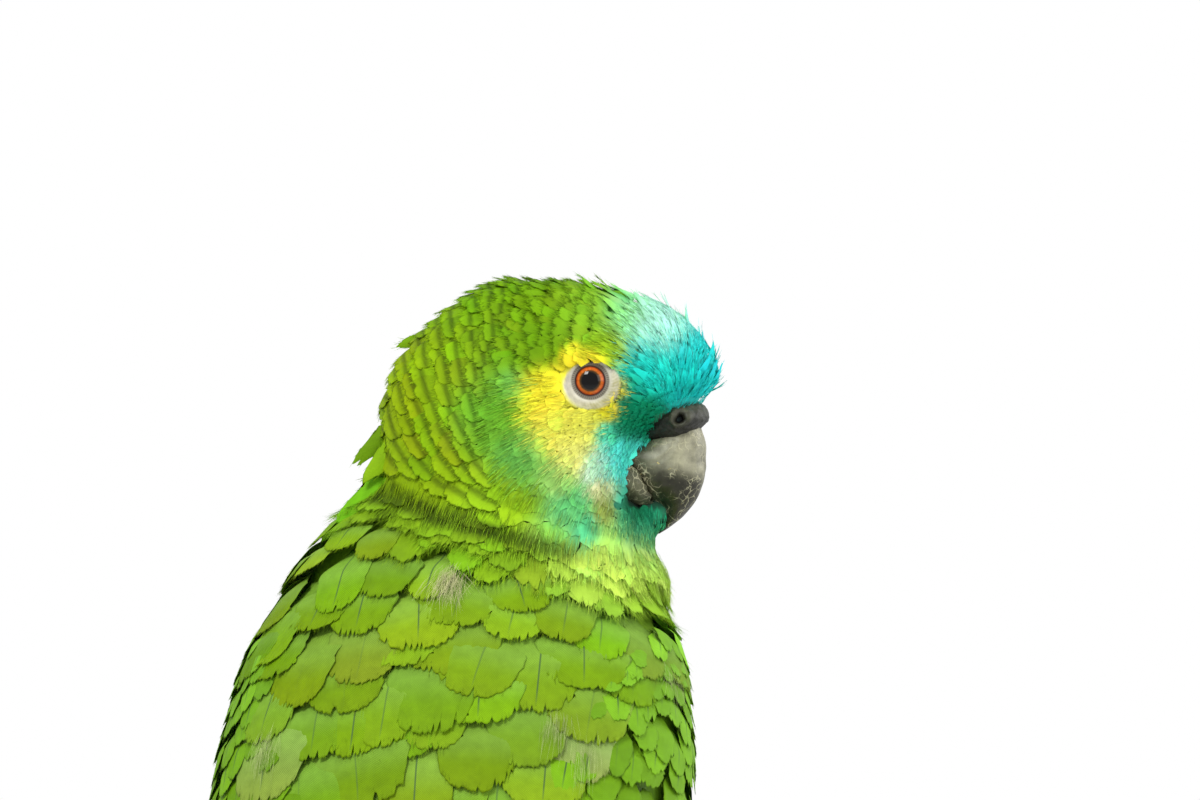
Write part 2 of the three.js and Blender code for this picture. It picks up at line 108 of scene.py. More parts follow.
EYES = {side: middle_of(f"eye_{side}") for side in SIDES}
EYE_RADIUS = float((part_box("eye_right")[1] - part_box("eye_right")[0])[2] / 2)
HEAD_RIGHT = unit(EYES["right"] - EYES["left"])
HEAD_FORWARD = unit(np.cross(UP, HEAD_RIGHT))
EYE_FORWARD, EYE_UP = 8.9 * MM, 4.75 * MM
HEAD = (EYES["right"] + EYES["left"]) / 2 - EYE_FORWARD * HEAD_FORWARD - EYE_UP * UP

BODY_LEAN, TAIL_LEAN = math.radians(20), math.radians(24)


def leaning(lean):
    """Down along a part whose upper end leans forward by an angle, and out of its back."""
    sine, cosine = math.sin(lean), math.cos(lean)
    return np.array([0.0, sine, -cosine]), np.array([0.0, cosine, sine])


BODY_DOWN, _ = leaning(BODY_LEAN)
BILL_BASE = np.array([24.0, -6.0, 0.0])  # in head places, millimetres

COLLAR_SLOPE = math.radians(16)
COLLAR = HEAD - 31 * MM * UP
COLLAR_NORMAL = math.sin(COLLAR_SLOPE) * HEAD_FORWARD + math.cos(COLLAR_SLOPE) * UP


def head_places(points):
    """Forward, up and right of the head's middle, in millimetres."""
    away = (np.asarray(points) - HEAD) / MM
    return np.stack([away @ HEAD_FORWARD, away @ UP, away @ HEAD_RIGHT], axis=-1)


def from_head(places):
    """The points that have these head places: the other way round from head_places."""
    away = places[:, :1] * HEAD_FORWARD + places[:, 1:2] * UP + places[:, 2:] * HEAD_RIGHT
    return HEAD + away * MM


def below_collar(points):
    """Millimetres below the sloping line where the head's plumage ends."""
    return -((np.asarray(points) - COLLAR) @ COLLAR_NORMAL) / MM


WING_BEND = np.array([0.0, -30.0, 263.0]) * MM
WING_DOWN, WING_BACK = leaning(math.radians(28))
TAIL_DOWN, TAIL_BACK = leaning(TAIL_LEAN)


def wing_places(points):
    """How far along a folded wing from its bend, and how far across it towards the back, in mm."""
    away = (np.asarray(points) - WING_BEND) / MM
    return away @ WING_DOWN, away @ WING_BACK


# ---------- colours

GREEN = linear(100, 146, 8)
PALE_GREEN = linear(188, 230, 100)
NAPE_GREEN = linear(138, 178, 10)
YELLOW = linear(255, 240, 50)
WING_RED = linear(196, 40, 22)
WING_YELLOW = linear(238, 206, 36)
NIGHT_BLUE = linear(26, 36, 88)
BLUE_GREEN = linear(26, 104, 84)
TAIL_GREEN = linear(92, 142, 26)
TAIL_TIP = linear(178, 200, 64)

# Head markings, and one painted shadow of the bill: forward and up of the head's middle, how far each
# reaches (mm), weight and colour.
HEAD_MARKS = [
    ("crown", -12, 26, 13, 1.0, linear(112, 160, 6)),
    ("side of the crown", -8, 15, 7, 1.0, linear(110, 164, 10)),
    ("forecrown", 7, 22, 7, 1.0, linear(132, 186, 34)),
    ("over the brow", 12, 13, 4.0, 1.3, linear(150, 190, 22)),
    ("pale forehead edge", 17, 22, 5.5, 1.0, linear(140, 226, 140)),
    ("upper forehead", 25, 20, 6.4, 1.5, linear(184, 255, 228)),
    ("forehead", 35, 10, 8, 1.6, linear(20, 214, 208)),
    ("brow", 24, 8, 6.5, 1.6, linear(26, 212, 196)),
    ("before the yellow stripe", 18, 4, 2.6, 1.2, linear(20, 176, 140)),
    ("lores", 21, -3, 5, 1.7, linear(4, 142, 98)),
    ("lower lores", 16, -7, 3.2, 1.2, linear(12, 150, 104)),
    ("above the cere", 32, 1, 4.5, 1.3, linear(14, 186, 178)),
    ("front of the cheek", 15, -15, 4.8, 1.9, linear(90, 250, 232)),
    ("before the cheek", 12, -9, 2.6, 1.2, linear(96, 240, 190)),
    # painted shadow of the bill on the throat
    ("under the mandible", 19, -28, 2.8, 1.8, linear(14, 104, 56)),
    ("over the eye", 3.5, 11.2, 2.2, 1.7, YELLOW),
    ("over the eye's front", 9.0, 10.0, 2.3, 1.6, YELLOW),
    ("before the eye", 14.6, 3, 2.0, 1.5, YELLOW),
    ("under the eye's front", 12, -3, 2.0, 1.2, YELLOW),
    ("cheek", -4, 0, 5.6, 2.9, YELLOW),
    ("lower cheek", 0, -6.5, 6.0, 3.6, linear(255, 255, 92)),
    ("pale cheek", 3, -12.5, 4.4, 2.2, linear(255, 255, 132)),
    ("white of the cheek", 9, -16, 3.6, 1.6, linear(204, 252, 212)),
    ("ear", -17, -2, 9, 1.3, linear(112, 180, 44)),
    ("behind the cheek", -12, 3, 3.6, 1.0, linear(104, 186, 92)),
    ("below the ear", -9, -14, 6, 1.2, linear(112, 192, 84)),
    ("under the cheek", -1, -19, 4, 1.2, linear(164, 216, 110)),
    ("jaw", 2, -28, 5, 0.9, linear(104, 200, 120)),
    ("below the jaw", 6, -33, 3.4, 1.1, linear(70, 194, 140)),
    ("beige chin", 11, -22, 3.0, 1.3, linear(208, 214, 146)),
    ("olive chin", 11.5, -27.5, 2.8, 0.9, linear(150, 164, 70)),
    ("chin", 16, -24, 3.2, 1.0, linear(60, 180, 140)),
    ("throat", 21, -31, 6, 1.6, linear(22, 166, 122)),
    ("side of the nape", -26, 10, 10, 1.0, linear(124, 166, 6)),
    ("nape", -38, 0, 12, 1.0, linear(142, 174, 4)),
    ("hindneck", -36, -18, 12, 1.0, linear(140, 174, 10)),
    ("side of the neck", -16, -27, 9, 1.0, linear(140, 186, 20)),
    ("lower side", -3, -36, 6, 1.0, linear(158, 214, 84)),
    ("neck front", 16, -42, 9, 1.2, PALE_GREEN),
]


def head_colours(points):
    """The head's markings, and the painted shadow under the bill, at points on or near it: each mark fades
    into its neighbours.
    """
    places = head_places(points)
    ahead = places[:, 0] - 0.07 * np.abs(places[:, 2])
    total = np.zeros((len(places), 3))
    weights = np.zeros(len(places))
    for _, forward, up, reach, weight, colour in HEAD_MARKS:
        near = ((ahead - forward) ** 2 + (places[:, 1] - up) ** 2) / reach ** 2
        share = weight * np.exp(-1.35 * near) + 1e-6 / (1 + near)
        total += share[:, None] * colour
        weights += share
    return total / weights[:, None]


def body_colours(points, normals):
    """Green back, yellower breast and undertail, and the pale fringe under the collar."""
    depth = below_collar(points)
    z = np.asarray(points)[:, 2] / MM
    facing_back = ramp(-0.35, 0.35, normals[:, 1])
    breast = tinted(linear(150, 200, 44), linear(126, 176, 40), ramp(20, 90, depth))
    undertail = ramp(150, 128, z)[:, None] * (1 - facing_back)[:, None]
    breast = mix(breast, linear(176, 204, 56), undertail)
    back = tinted(linear(134, 178, 26), GREEN, ramp(6, 30, depth))
    rump = ramp(190, 165, z)[:, None]
    back = mix(back, linear(104, 162, 26), rump)
    colour = tinted(breast, back, facing_back)
    places = head_places(points)
    bib = np.exp(-(((places[:, 0] - 15) / 14) ** 2 + ((places[:, 1] + 41) / 7.5) ** 2) * 1.4)
    bib = np.minimum(1.5 * bib, 1)
    return tinted(colour, linear(212, 252, 100), bib)


COLLAR_DROP = 2.6  # how far the head's feathers hang over the collar, in mm


def coat_colours(points, normals):
    """The markings of skin and coat alike, with a painted shade in the crease under the head's plumage."""
    depth = below_collar(points) - COLLAR_DROP
    share = ramp(-2, 6, depth)[:, None]
    # painted shade: a dark band in the crease below where the head's plumage hangs over the collar
    shadow = ramp(0, 2.0, depth) * ramp(6.5, 3.5, depth)
    crease = 1 - 0.72 * shadow * ramp(12, 2, head_places(points)[:, 0])
    return mix(head_colours(points), body_colours(points, normals), share) * crease[:, None]


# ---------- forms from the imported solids

def mesh_object(name, mesh, body="root"):
    made = bpy.data.objects.new(name, mesh)
    bpy.context.scene.collection.objects.link(made)
    if body:
        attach(made, body)
    return made


def solid_copy(nodes):
    """The nodes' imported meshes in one, each welded."""
    whole = bmesh.new()
    for node in nodes:
        part = bmesh.new()
        part.from_mesh(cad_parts[node].data)
        bmesh.ops.remove_doubles(part, verts=part.verts, dist=0.002 * MM)
        bmesh.ops.triangulate(part, faces=part.faces)
        made = bpy.data.meshes.new("part")
        part.to_mesh(made)
        part.free()
        whole.from_mesh(made)
        bpy.data.meshes.remove(made)
    mesh = bpy.data.meshes.new("form")
    whole.to_mesh(mesh)
    whole.free()
    return mesh


def refined(mesh, voxel, smoothing, rounds=0):
    """A close, even mesh of a form: rounded by subdivision, remeshed and smoothed."""
    holder = mesh_object("form", mesh, body=None)
    stages = [
        ("SUBSURF", dict(levels=rounds, render_levels=rounds)),
        ("REMESH", dict(mode="VOXEL", voxel_size=voxel, use_smooth_shade=True)),
        ("SMOOTH", dict(factor=0.5, iterations=smoothing)),
    ]
    for kind, settings in stages if rounds else stages[1:]:
        modifier = holder.modifiers.new(kind.lower(), kind)
        for name, value in settings.items():
            setattr(modifier, name, value)
    bpy.context.view_layer.update()
    graph = bpy.context.evaluated_depsgraph_get()
    made = bpy.data.meshes.new_from_object(holder.evaluated_get(graph))
    bpy.data.objects.remove(holder)
    return made


def vertex_values(mesh, name):
    """The vertices' places ("co") or normals ("normal") as rows of three."""
    values = np.empty(len(mesh.vertices) * 3)
    mesh.vertices.foreach_get(name, values)
    return values.reshape(-1, 3)


def set_vertices(mesh, places):
    mesh.vertices.foreach_set("co", np.ascontiguousarray(places, float).ravel())
    mesh.update()


class Surface:
    """A smooth closed surface that can be asked for its nearest point and the normal there."""

    def __init__(self, mesh):
        mesh.calc_loop_triangles()
        self.points = vertex_values(mesh, "co")
        self.normals = vertex_values(mesh, "normal")
        corners = np.empty(len(mesh.loop_triangles) * 3, np.int32)
        mesh.loop_triangles.foreach_get("vertices", corners)
        self.faces = corners.reshape(-1, 3)
        self.tree = BVHTree.FromPolygons(self.points.tolist(), self.faces.tolist())

    def normals_at(self, places, faces):
        """Normals that run smoothly over each face, at places on the faces."""
        corners = self.points[self.faces[faces]]
        gaps = np.linalg.norm(corners - places[:, None], axis=2)
        shares = 1.0 / (gaps ** 2 + 1e-9)
        return unit((self.normals[self.faces[faces]] * shares[..., None]).sum(1))

    def nearest(self, points):
        """The nearest places on the surface, and the normals there."""
        found = [self.tree.find_nearest(point) for point in points.tolist()]
        places = np.array([place[:] for place, _, _, _ in found])
        return places, self.normals_at(places, np.array([face for _, _, face, _ in found]))

    def gaps(self, points):
        """How far each point is from the surface."""
        return np.array([self.tree.find_nearest(point)[3] for point in points.tolist()])

    def cast(self, points, directions):
        """How far rays run until they meet the surface; a miss gives an endless distance."""
        rays = zip(points.tolist(), directions.tolist())
        reach = [self.tree.ray_cast(point, direction)[3] for point, direction in rays]
        return np.array([np.inf if distance is None else distance for distance in reach])

    def sprinkle(self, count, spacing):
        """Random points, thicker where the spacing is small, with normals and faces."""
        a, b, c = (self.points[self.faces[:, k]] for k in range(3))
        areas = np.linalg.norm(np.cross(b - a, c - a), axis=1) / 2
        weights = areas / spacing((a + b + c) / 3) ** 2
        faces = rng.choice(len(areas), count, p=weights / weights.sum())
        s, t = np.sqrt(rng.random((count, 1))), rng.random((count, 1))
        places = a[faces] * (1 - s) + b[faces] * s * (1 - t) + c[faces] * s * t
        return places, self.normals_at(places, faces), faces


# ---------- the lie of the coat

SAG = 0.35  # how much the head's rows of feathers turn down towards the neck


def coat_flow(points, normals):
    """Which way feathers point: away from the bill on the head, down the body below it."""
    places = head_places(points)
    away = unit(places - BILL_BASE)
    from_bill = away[:, :1] * HEAD_FORWARD + (away[:, 1:2] - SAG) * UP + away[:, 2:] * HEAD_RIGHT
    share = ramp(-16, 10, below_collar(points))[:, None]
    flow = mix(from_bill, BODY_DOWN, share)
    for side in SIDES:
        radial = points - EYES[side]
        gap = np.linalg.norm(radial, axis=1, keepdims=True)
        radial = radial / gap
        inward = np.minimum((flow * radial).sum(1, keepdims=True), 0.0)
        flow = flow - 0.95 * inward * radial * ramp(15 * MM, 9 * MM, gap)
    return along_surface(flow, normals)


def along_surface(directions, normals):
    return unit(directions - (directions * normals).sum(-1, keepdims=True) * normals)


def straight_flow(direction):
    """A flow that keeps to one direction as far as the surface lets it."""
    return lambda points, normals: along_surface(np.broadcast_to(direction, points.shape), normals)


def point_tree(points):
    tree = kdtree.KDTree(len(points))
    for i, point in enumerate(points.tolist()):
        tree.insert(point, i)
    tree.balance()
    return tree


def settle(spacing, count, allowed, relax=5):
    """Seeds a spacing apart all over the bird: a close cover, then evened out by pushing apart."""
    places, _, faces = outer.sprinkle(count, spacing)
    places = places[allowed(places, faces)]
    gaps = spacing(places)
    tree = point_tree(places)
    taken = np.zeros(len(places), bool)
    chosen = []
    for i, point in enumerate(places.tolist()):
        if taken[i]:
            continue
        chosen.append(i)
        for _, near, _ in tree.find_range(point, 0.86 * gaps[i]):
            taken[near] = True
    seeds = places[chosen]
    for _ in range(relax):
        gaps = spacing(seeds)
        tree = point_tree(seeds)
        near = np.array([[n[1] for n in tree.find_n(point, 7)] for point in seeds.tolist()])
        away = seeds[:, None] - seeds[near[:, 1:]]
        distance = np.linalg.norm(away, axis=2, keepdims=True)
        push = np.clip(1.12 * gaps[:, None, None] - distance, 0, None)
        seeds = seeds + 0.42 * (away / np.maximum(distance, 1e-9) * push).sum(1) / 2
        seeds, _ = outer.nearest(seeds)
    return outer.nearest(seeds)


def walk(seeds, normals, directions, lengths, half_widths, flow=coat_flow, steps=5):
    """Follows the bird's outside from each seed, along the flow.

    Returns places of shape (seeds, steps, 3, 3), which are the left, centre and right of each
    step, and normals of shape (seeds, steps, 3).
    """
    places = np.empty((len(seeds), steps, 3, 3))
    ups = np.empty((len(seeds), steps, 3))
    here, up, ahead = seeds.copy(), normals.copy(), directions.copy()
    for step in range(steps):
        aside = across(up, ahead) * half_widths[:, None]
        places[:, step, 0], _ = outer.nearest(here - aside)
        places[:, step, 1] = here
        places[:, step, 2], _ = outer.nearest(here + aside)
        ups[:, step] = up
        if step < steps - 1:
            here, up = outer.nearest(here + ahead * (lengths / (steps - 1))[:, None])
            ahead = along_surface(unit(ahead + 0.25 * flow(here, up)), up)
    return places, ups


# ---------- vanes

def vane_faces(rows, columns):
    """Quads of a closed vane: a top grid, a bottom grid, and the border that they share."""
    top = np.arange((rows + 1) * (columns + 1)).reshape(rows + 1, columns + 1)
    bottom = top.copy()
    inner = (rows + 1) * (columns + 1) + np.arange((rows - 1) * (columns - 1))
    bottom[1:-1, 1:-1] = inner.reshape(rows - 1, columns - 1)
    quads = [
        np.stack([top[:-1, :-1], top[:-1, 1:], top[1:, 1:], top[1:, :-1]], -1).reshape(-1, 4),
        np.stack([bottom[:-1, :-1], bottom[1:, :-1], bottom[1:, 1:], bottom[:-1, 1:]], -1).reshape(-1, 4),
    ]
    return np.concatenate(quads)


# A needle's faces: its root is point 0, the ring round its middle 1 to 3, and its tip 4.
NEEDLE = np.array([(0, 2, 1), (4, 1, 2), (0, 3, 2), (4, 2, 3), (0, 1, 3), (4, 3, 1)])


def add_needles(coat, roots, middles, tips, lifts, girths, tones, spots):
    """Thin closed needles. Places are (n, 3), girths (n, 1), and spots their roots on the unwrap."""
    side = across(lifts, unit(tips - roots))
    points = np.empty((len(roots), 5, 3))
    points[:, 0], points[:, 4] = roots, tips
    for k in range(3):
        turn = 2 * math.pi * k / 3
        spoke = side * math.cos(turn) + lifts * math.sin(turn) * 0.6
        points[:, 1 + k] = middles + spoke * girths
    data = np.tile(np.array([0.9, 0.0, 1.0, 0.5]), (len(roots), 5, 1))
    data[..., 3] = rng.random((len(roots), 1))
    patch = np.repeat(spots[:, None], 5, 1) + PATCH * 0.2 * rng.random((len(roots), 1, 2))
    patch[:, 1:4] += 0.3 * PATCH
    patch[:, 4] += 0.6 * PATCH
    lies = np.concatenate([lifts, np.ones((len(roots), 1))], 1)
    colours, lies = np.repeat(tones[:, None], 5, 1), np.repeat(lies[:, None], 5, 1)
    coat.add(NEEDLE, points=points, colours=colours, vanes=data, patches=patch, lies=lies)


def paint(mesh, colours, name="Coat"):
    """Stores a colour or other values at each vertex."""
    attribute = mesh.color_attributes.new(name, "FLOAT_COLOR", "POINT")
    if colours.shape[1] == 3:
        colours = np.concatenate([colours, np.ones((len(colours), 1))], 1)
    attribute.data.foreach_set("color", colours.ravel())


class Coat:
    """Gathers vanes and needles into one mesh with colour, vane and unwrap data."""

    WIDTHS = {"points": 3, "colours": 3, "vanes": 4, "patches": 2, "lies": 4}

    def __init__(self):
        self.faces, self.count = [], 0
        self.data = {name: [] for name in self.WIDTHS}

    def add(self, faces, **data):
        """Takes the faces of one feather, and arrays of shape (feathers, vertices, width).

        lies holds the direction that each point's shading leans towards, and by what share.
        """
        feathers, vertices = data["points"].shape[:2]
        shift = self.count + np.arange(feathers)[:, None, None] * vertices
        self.faces.append((faces[None] + shift).reshape(-1, faces.shape[1]).astype(np.int32))
        for name, width in self.WIDTHS.items():
            self.data[name].append(data[name].reshape(-1, width))
        self.count += feathers * vertices

    def finish(self, name, material):
        """Adds all that was gathered to the scene, as one piece."""
        points, colours, vanes, patches, lies = (np.concatenate(rows) for rows in self.data.values())
        loops = np.concatenate([faces.ravel() for faces in self.faces])
        sizes = np.concatenate([np.full(len(faces), faces.shape[1]) for faces in self.faces])
        mesh = bpy.data.meshes.new(name)
        mesh.vertices.add(len(points))
        mesh.vertices.foreach_set("co", points.ravel())
        mesh.loops.add(len(loops))
        mesh.loops.foreach_set("vertex_index", loops)
        mesh.polygons.add(len(sizes))
        starts = np.concatenate([[0], np.cumsum(sizes)[:-1]]).astype(np.int32)
        mesh.polygons.foreach_set("loop_start", starts)
        mesh.update(calc_edges=True)
        paint(mesh, colours)
        paint(mesh, vanes, "Vane")
        unwrap = mesh.uv_layers.new(name="OFBake")
        unwrap.data.foreach_set("uv", patches[loops].ravel())
        mesh.polygons.foreach_set("use_smooth", np.ones(len(sizes), bool))
        mesh.validate()
        lean = unit(mix(vertex_values(mesh, "normal"), lies[:, :3], lies[:, 3:]))
        mesh.normals_split_custom_set_from_vertices(lean.tolist())
        made = mesh_object(name, mesh)
        mesh.materials.append(material)


def skin_unwrap(points):
    """The skin's own unwrap: turned round the bird's upright middle line, and up along it."""
    z = points[:, 2] / MM
    line = np.where(z < 160, 26 + (160 - z) * math.tan(TAIL_LEAN), -(z - 200) * math.tan(BODY_LEAN))
    headward = ramp(262, 296, z)
    line = mix(line, HEAD[1] / MM, headward)
    centre_x = HEAD[0] / MM * headward
    x, y = points[:, 0] / MM - centre_x, points[:, 1] / MM - line
    angle = np.arctan2(x, -y) / (2 * math.pi) + 0.5
    rise = z - HEAD[2] / MM
    latitude = np.arctan2(np.maximum(rise, 0), np.hypot(x, y))
    along = np.where(rise > 0, HEAD[2] / MM + 34 * latitude, z)
    return np.stack([0.02 + 0.95 * angle, 0.02 + 0.95 * along / 380.0], 1)


PATCH = 0.003  # each tuft's patch on the unwrap
SHOWN = 0.43  # the share of a body feather's length that shows past the next row


def two_faced(top, bottom=None):
    """Grid values of a vane's top face, then of its bottom face inside the border they share."""
    inner = (top if bottom is None else bottom)[:, 1:-1, 1:-1]
    flat = (len(top), -1, top.shape[-1])
    return np.concatenate([top.reshape(flat), inner.reshape(flat)], 1)


def lay_vanes(coat, places, ups, kind, colours, lengths, half_widths):
    """Lays one vane on each walked patch of surface.

    kind gives the grid and the shape, with lengths in mm: rows, columns, depth (how deep the root
    goes), lift (how far the tip stands off), step (how much the vane rises along its length, in
    place of depth to lift), camber, tilt, thickness, point (0 broad to 1 pointed), blunt, stem and
    taper (its outline), fray and tears (how ragged the tip is), shuffle, roll, ripple and unruly
    (how feathers differ), side (how the edge pattern runs along the sides), soften (the share of
    the body's own normal in the shading), by_place and tint (its colours), and wisps (loose barbs).
    """
    feathers, steps = places.shape[:2]
    rows, columns, ragged = kind["rows"], kind["columns"], kind["fray"]
    v = 1 - (1 - np.linspace(0, 1, rows + 1)) ** 1.35
    u = np.linspace(-1, 1, columns + 1)
    border = (feathers, columns + 1)
    fray = rng.random(border) * ragged
    fray += rng.random(border) ** 6 * ragged * 1.6
    fray += (rng.random(border) < kind.get("tears", 0.0)) * (0.04 + 0.08 * rng.random(border))
    round_off = kind["point"] * np.abs(u) ** kind.get("blunt", 2.2)
    end = (1 - round_off)[None] * (1 - fray)
    vv = v[None, :, None] * end[:, None, :]  # along each column, 0 root to 1 tip
    girth = mix(kind.get("stem", 0.3), 1.0, ramp(0, 0.5, v))
    girth = girth * (1 - kind.get("taper", 0.12) * ramp(0.6, 1, v))
    jitter = 1 + ragged * 0.8 * rng.normal(size=(feathers, rows + 1, 1)) * (np.abs(u) > 0.99)
    uu = u[None, None, :] * girth[None, :, None] * jitter

    place = np.clip(vv * (steps - 1), 0, steps - 1 - 1e-9)
    low = place.astype(int)
    part = (place - low)[..., None]
    index = np.arange(feathers)[:, None, None]
    spans = mix(places[index, low], places[index, low + 1], part[..., None])
    left, centre, right = (spans[..., k, :] for k in range(3))
    up = unit(mix(ups[index, low], ups[index, low + 1], part))
    w = uu[..., None]
    top = centre + w * (right - left) / 2 + w ** 2 * ((left + right) / 2 - centre)

    depth = kind["depth"]
    lift = (kind["lift"] * (0.6 + 0.8 * rng.random(feathers)))[:, None, None]
    lift = lift + ((rng.random(feathers) < kind.get("unruly", 0.0)) * 1.6)[:, None, None]
    order = (kind["shuffle"] * (rng.random(feathers) - 0.5))[:, None, None]
    roll = (kind["roll"] * rng.normal(size=feathers))[:, None, None] * uu
    if "step" in kind:
        height = lift - kind["step"] * (1 - vv) / SHOWN - depth * ramp(0.5, 0.0, vv)
    else:
        height = -depth + (depth + lift) * np.clip(vv, 0, 1) ** 0.75
    height = height + order + roll + kind.get("tilt", 0.0) * uu
    height = height - kind["camber"] * uu ** 2 * (0.3 + 0.7 * ramp(0.1, 0.6, vv))
    height = height + kind["ripple"] * rng.normal(size=(feathers, 1, columns + 1)) * ramp(0.35, 1, vv)
    top = top + up * (height * MM)[..., None]
    thickness = kind["thickness"] * (1.15 - 0.8 * np.abs(u[None, None, :])) * (1.1 - 0.6 * vv)
    bottom = top - up * (thickness * MM)[..., None]

    length_mm, width_mm = (lengths / MM)[:, None, None], (half_widths / MM)[:, None, None]
    x, y = uu * width_mm, vv * length_mm
    to_tip = (end[:, None, :] - vv) * length_mm
    to_side = (girth[None, :, None] - np.abs(uu)) * width_mm
    edge = np.minimum(to_tip, kind.get("side", 2.2) * to_side + 0.3)
    seed = np.broadcast_to(rng.random(feathers)[:, None, None], x.shape)
    data = np.stack([x / 20 + 0.5, y / 100, edge / 10, seed], -1)
    shade = colours[:, None, None, :] * np.ones(x.shape + (1,))
    if kind.get("by_place"):
        facing = np.broadcast_to(up, top.shape).reshape(-1, 3)
        shade = shade * coat_colours(top.reshape(-1, 3), facing).reshape(top.shape)
    if "tint" in kind:
        shade = kind["tint"](shade, uu, vv)
    root = skin_unwrap(places[:, 0, 1])
    patch = root[:, None, None, :] + PATCH * np.stack([(uu + 1) / 2, vv * np.ones_like(uu)], -1)
    share = kind.get("soften", 0.35)
    lies = np.concatenate([np.broadcast_to(up, top.shape), np.full(x.shape + (1,), share)], -1)
    under = lies.copy()
    under[..., 3] = 0
    faces = vane_faces(rows, columns)
    turned = np.cross(top[:, 1, 1] - top[:, 1, 0], top[:, 2, 0] - top[:, 1, 0])
    if (turned * up[:, 1, 0]).sum() < 0:
        faces = faces[:, ::-1]
    coat.add(faces, points=two_faced(top, bottom), colours=two_faced(shade), vanes=two_faced(data),
             patches=two_faced(patch), lies=two_faced(lies, under))
    if kind.get("wisps"):
        fringe(coat, kind, top, up, shade, root)


def fringe(coat, kind, top, up, shade, root):
    """Loose barbs past the tip of each vane, as fine closed needles."""
    feathers, rows, columns = top.shape[:3]
    rows, columns = rows - 1, columns - 1
    count = kind["wisps"]
    index = np.arange(feathers)[:, None]
    column = rng.integers(0, columns + 1, (feathers, count))
    row = rows - rng.integers(0, max(2, rows // 4), (feathers, count))
    start = top[index, row, column]
    ahead = unit(start - top[index, row - 2, column])
    lift = unit(np.broadcast_to(up[index, row, 0], start.shape))
    side = across(lift, ahead)
    outward = (column / columns * 2 - 1)[..., None]
    reach = kind["wisp_length"] * MM * (0.4 + 0.9 * rng.random((feathers, count, 1)))
    ahead = unit(ahead + side * (0.22 * outward + 0.20 * rng.normal(size=outward.shape)))
    rise = 0.16 * rng.normal(size=outward.shape) + 0.05
    middle = start + ahead * reach * 0.4 + lift * reach * rise * 0.3
    tip = start + ahead * reach + lift * reach * rise
    foot = start - ahead * reach * 0.3
    tone = shade[index, row, column] * (0.8 + 0.4 * rng.random((feathers, count, 1)))
    dark = rng.random((feathers, count, 1)) < kind.get("dark_wisps", 0.0)
    tone = np.where(dark, tone * 0.4, tone)
    girth = kind["wisp_girth"] * MM * np.ones((feathers * count, 1))
    spot = np.repeat(root, count, 0)
    flat = [part.reshape(-1, 3) for part in (foot, middle, tip, lift)]
    add_needles(coat, *flat, girth, tone.reshape(-1, 3), spot)


# ---------- materials

class Wiring:
    """Adds shader nodes to a tree and gives their output sockets; inputs are sockets or values."""

    def __init__(self, tree):
        self.nodes, self.links = tree.nodes, tree.links

    def feed(self, socket, value):
        if isinstance(value, bpy.types.NodeSocket):
            self.links.new(value, socket)
        elif isinstance(value, (int, float)):
            socket.default_value = value
        else:
            socket.default_value = (*value, 1.0)[:len(socket.default_value)]

    def add(self, kind, output=0, inputs=None, **settings):
        node = self.nodes.new(f"ShaderNode{kind}")
        for name, value in settings.items():
            setattr(node, name, value)
        for key, value in (inputs or {}).items():
            self.feed(node.inputs[key], value)
        return node.outputs[output]

    def maths(self, operation, *values):
        return self.add("Math", 0, dict(enumerate(values)), operation=operation)

    def blend(self, mode, factor, first, second):
        inputs = {0: factor, 6: first, 7: second}
        return self.add("Mix", 2, inputs, data_type="RGBA", blend_type=mode)

    def lit(self, colour, light):
        """A colour times a number."""
        grey = self.add("CombineColor", 0, {0: light, 1: light, 2: light})
        return self.blend("MULTIPLY", 1.0, colour, grey)

    def place(self):
        return self.add("TexCoord", "Object")

    def noise(self, scale, detail=3.0, roughness=0.55, vector=None):
        vector = self.place() if vector is None else vector
        inputs = {"Scale": scale, "Detail": detail, "Roughness": roughness, "Vector": vector}
        return self.add("TexNoise", 0, inputs)

    def spread(self, value, low, high, to_low=0.0, to_high=1.0):
        inputs = {"Value": value, "From Min": low, "From Max": high, "To Min": to_low, "To Max": to_high}
        return self.add("MapRange", 0, inputs)

    def attribute(self, name, output="Color"):
        return self.add("Attribute", output, attribute_name=name)

    def parts(self, colour):
        return self.add("SeparateColor", 0, {0: colour}).node.outputs


class Look(Wiring):
    """A material with one Principled shader, and the nodes that feed it."""

    def __init__(self, name, roughness=0.6, specular=0.4):
        self.material = bpy.data.materials.new(name)
        self.material.use_nodes = True
        super().__init__(self.material.node_tree)
        self.shader = self.nodes["Principled BSDF"]
        self.put("Roughness", roughness)
        self.put("Specular IOR Level", specular)

    def put(self, name, value):
        self.feed(self.shader.inputs[name], value)

    def bump(self, height, strength, distance):
        inputs = {"Strength": strength, "Distance": distance, "Height": height}
        self.put("Normal", self.add("Bump", 0, inputs))


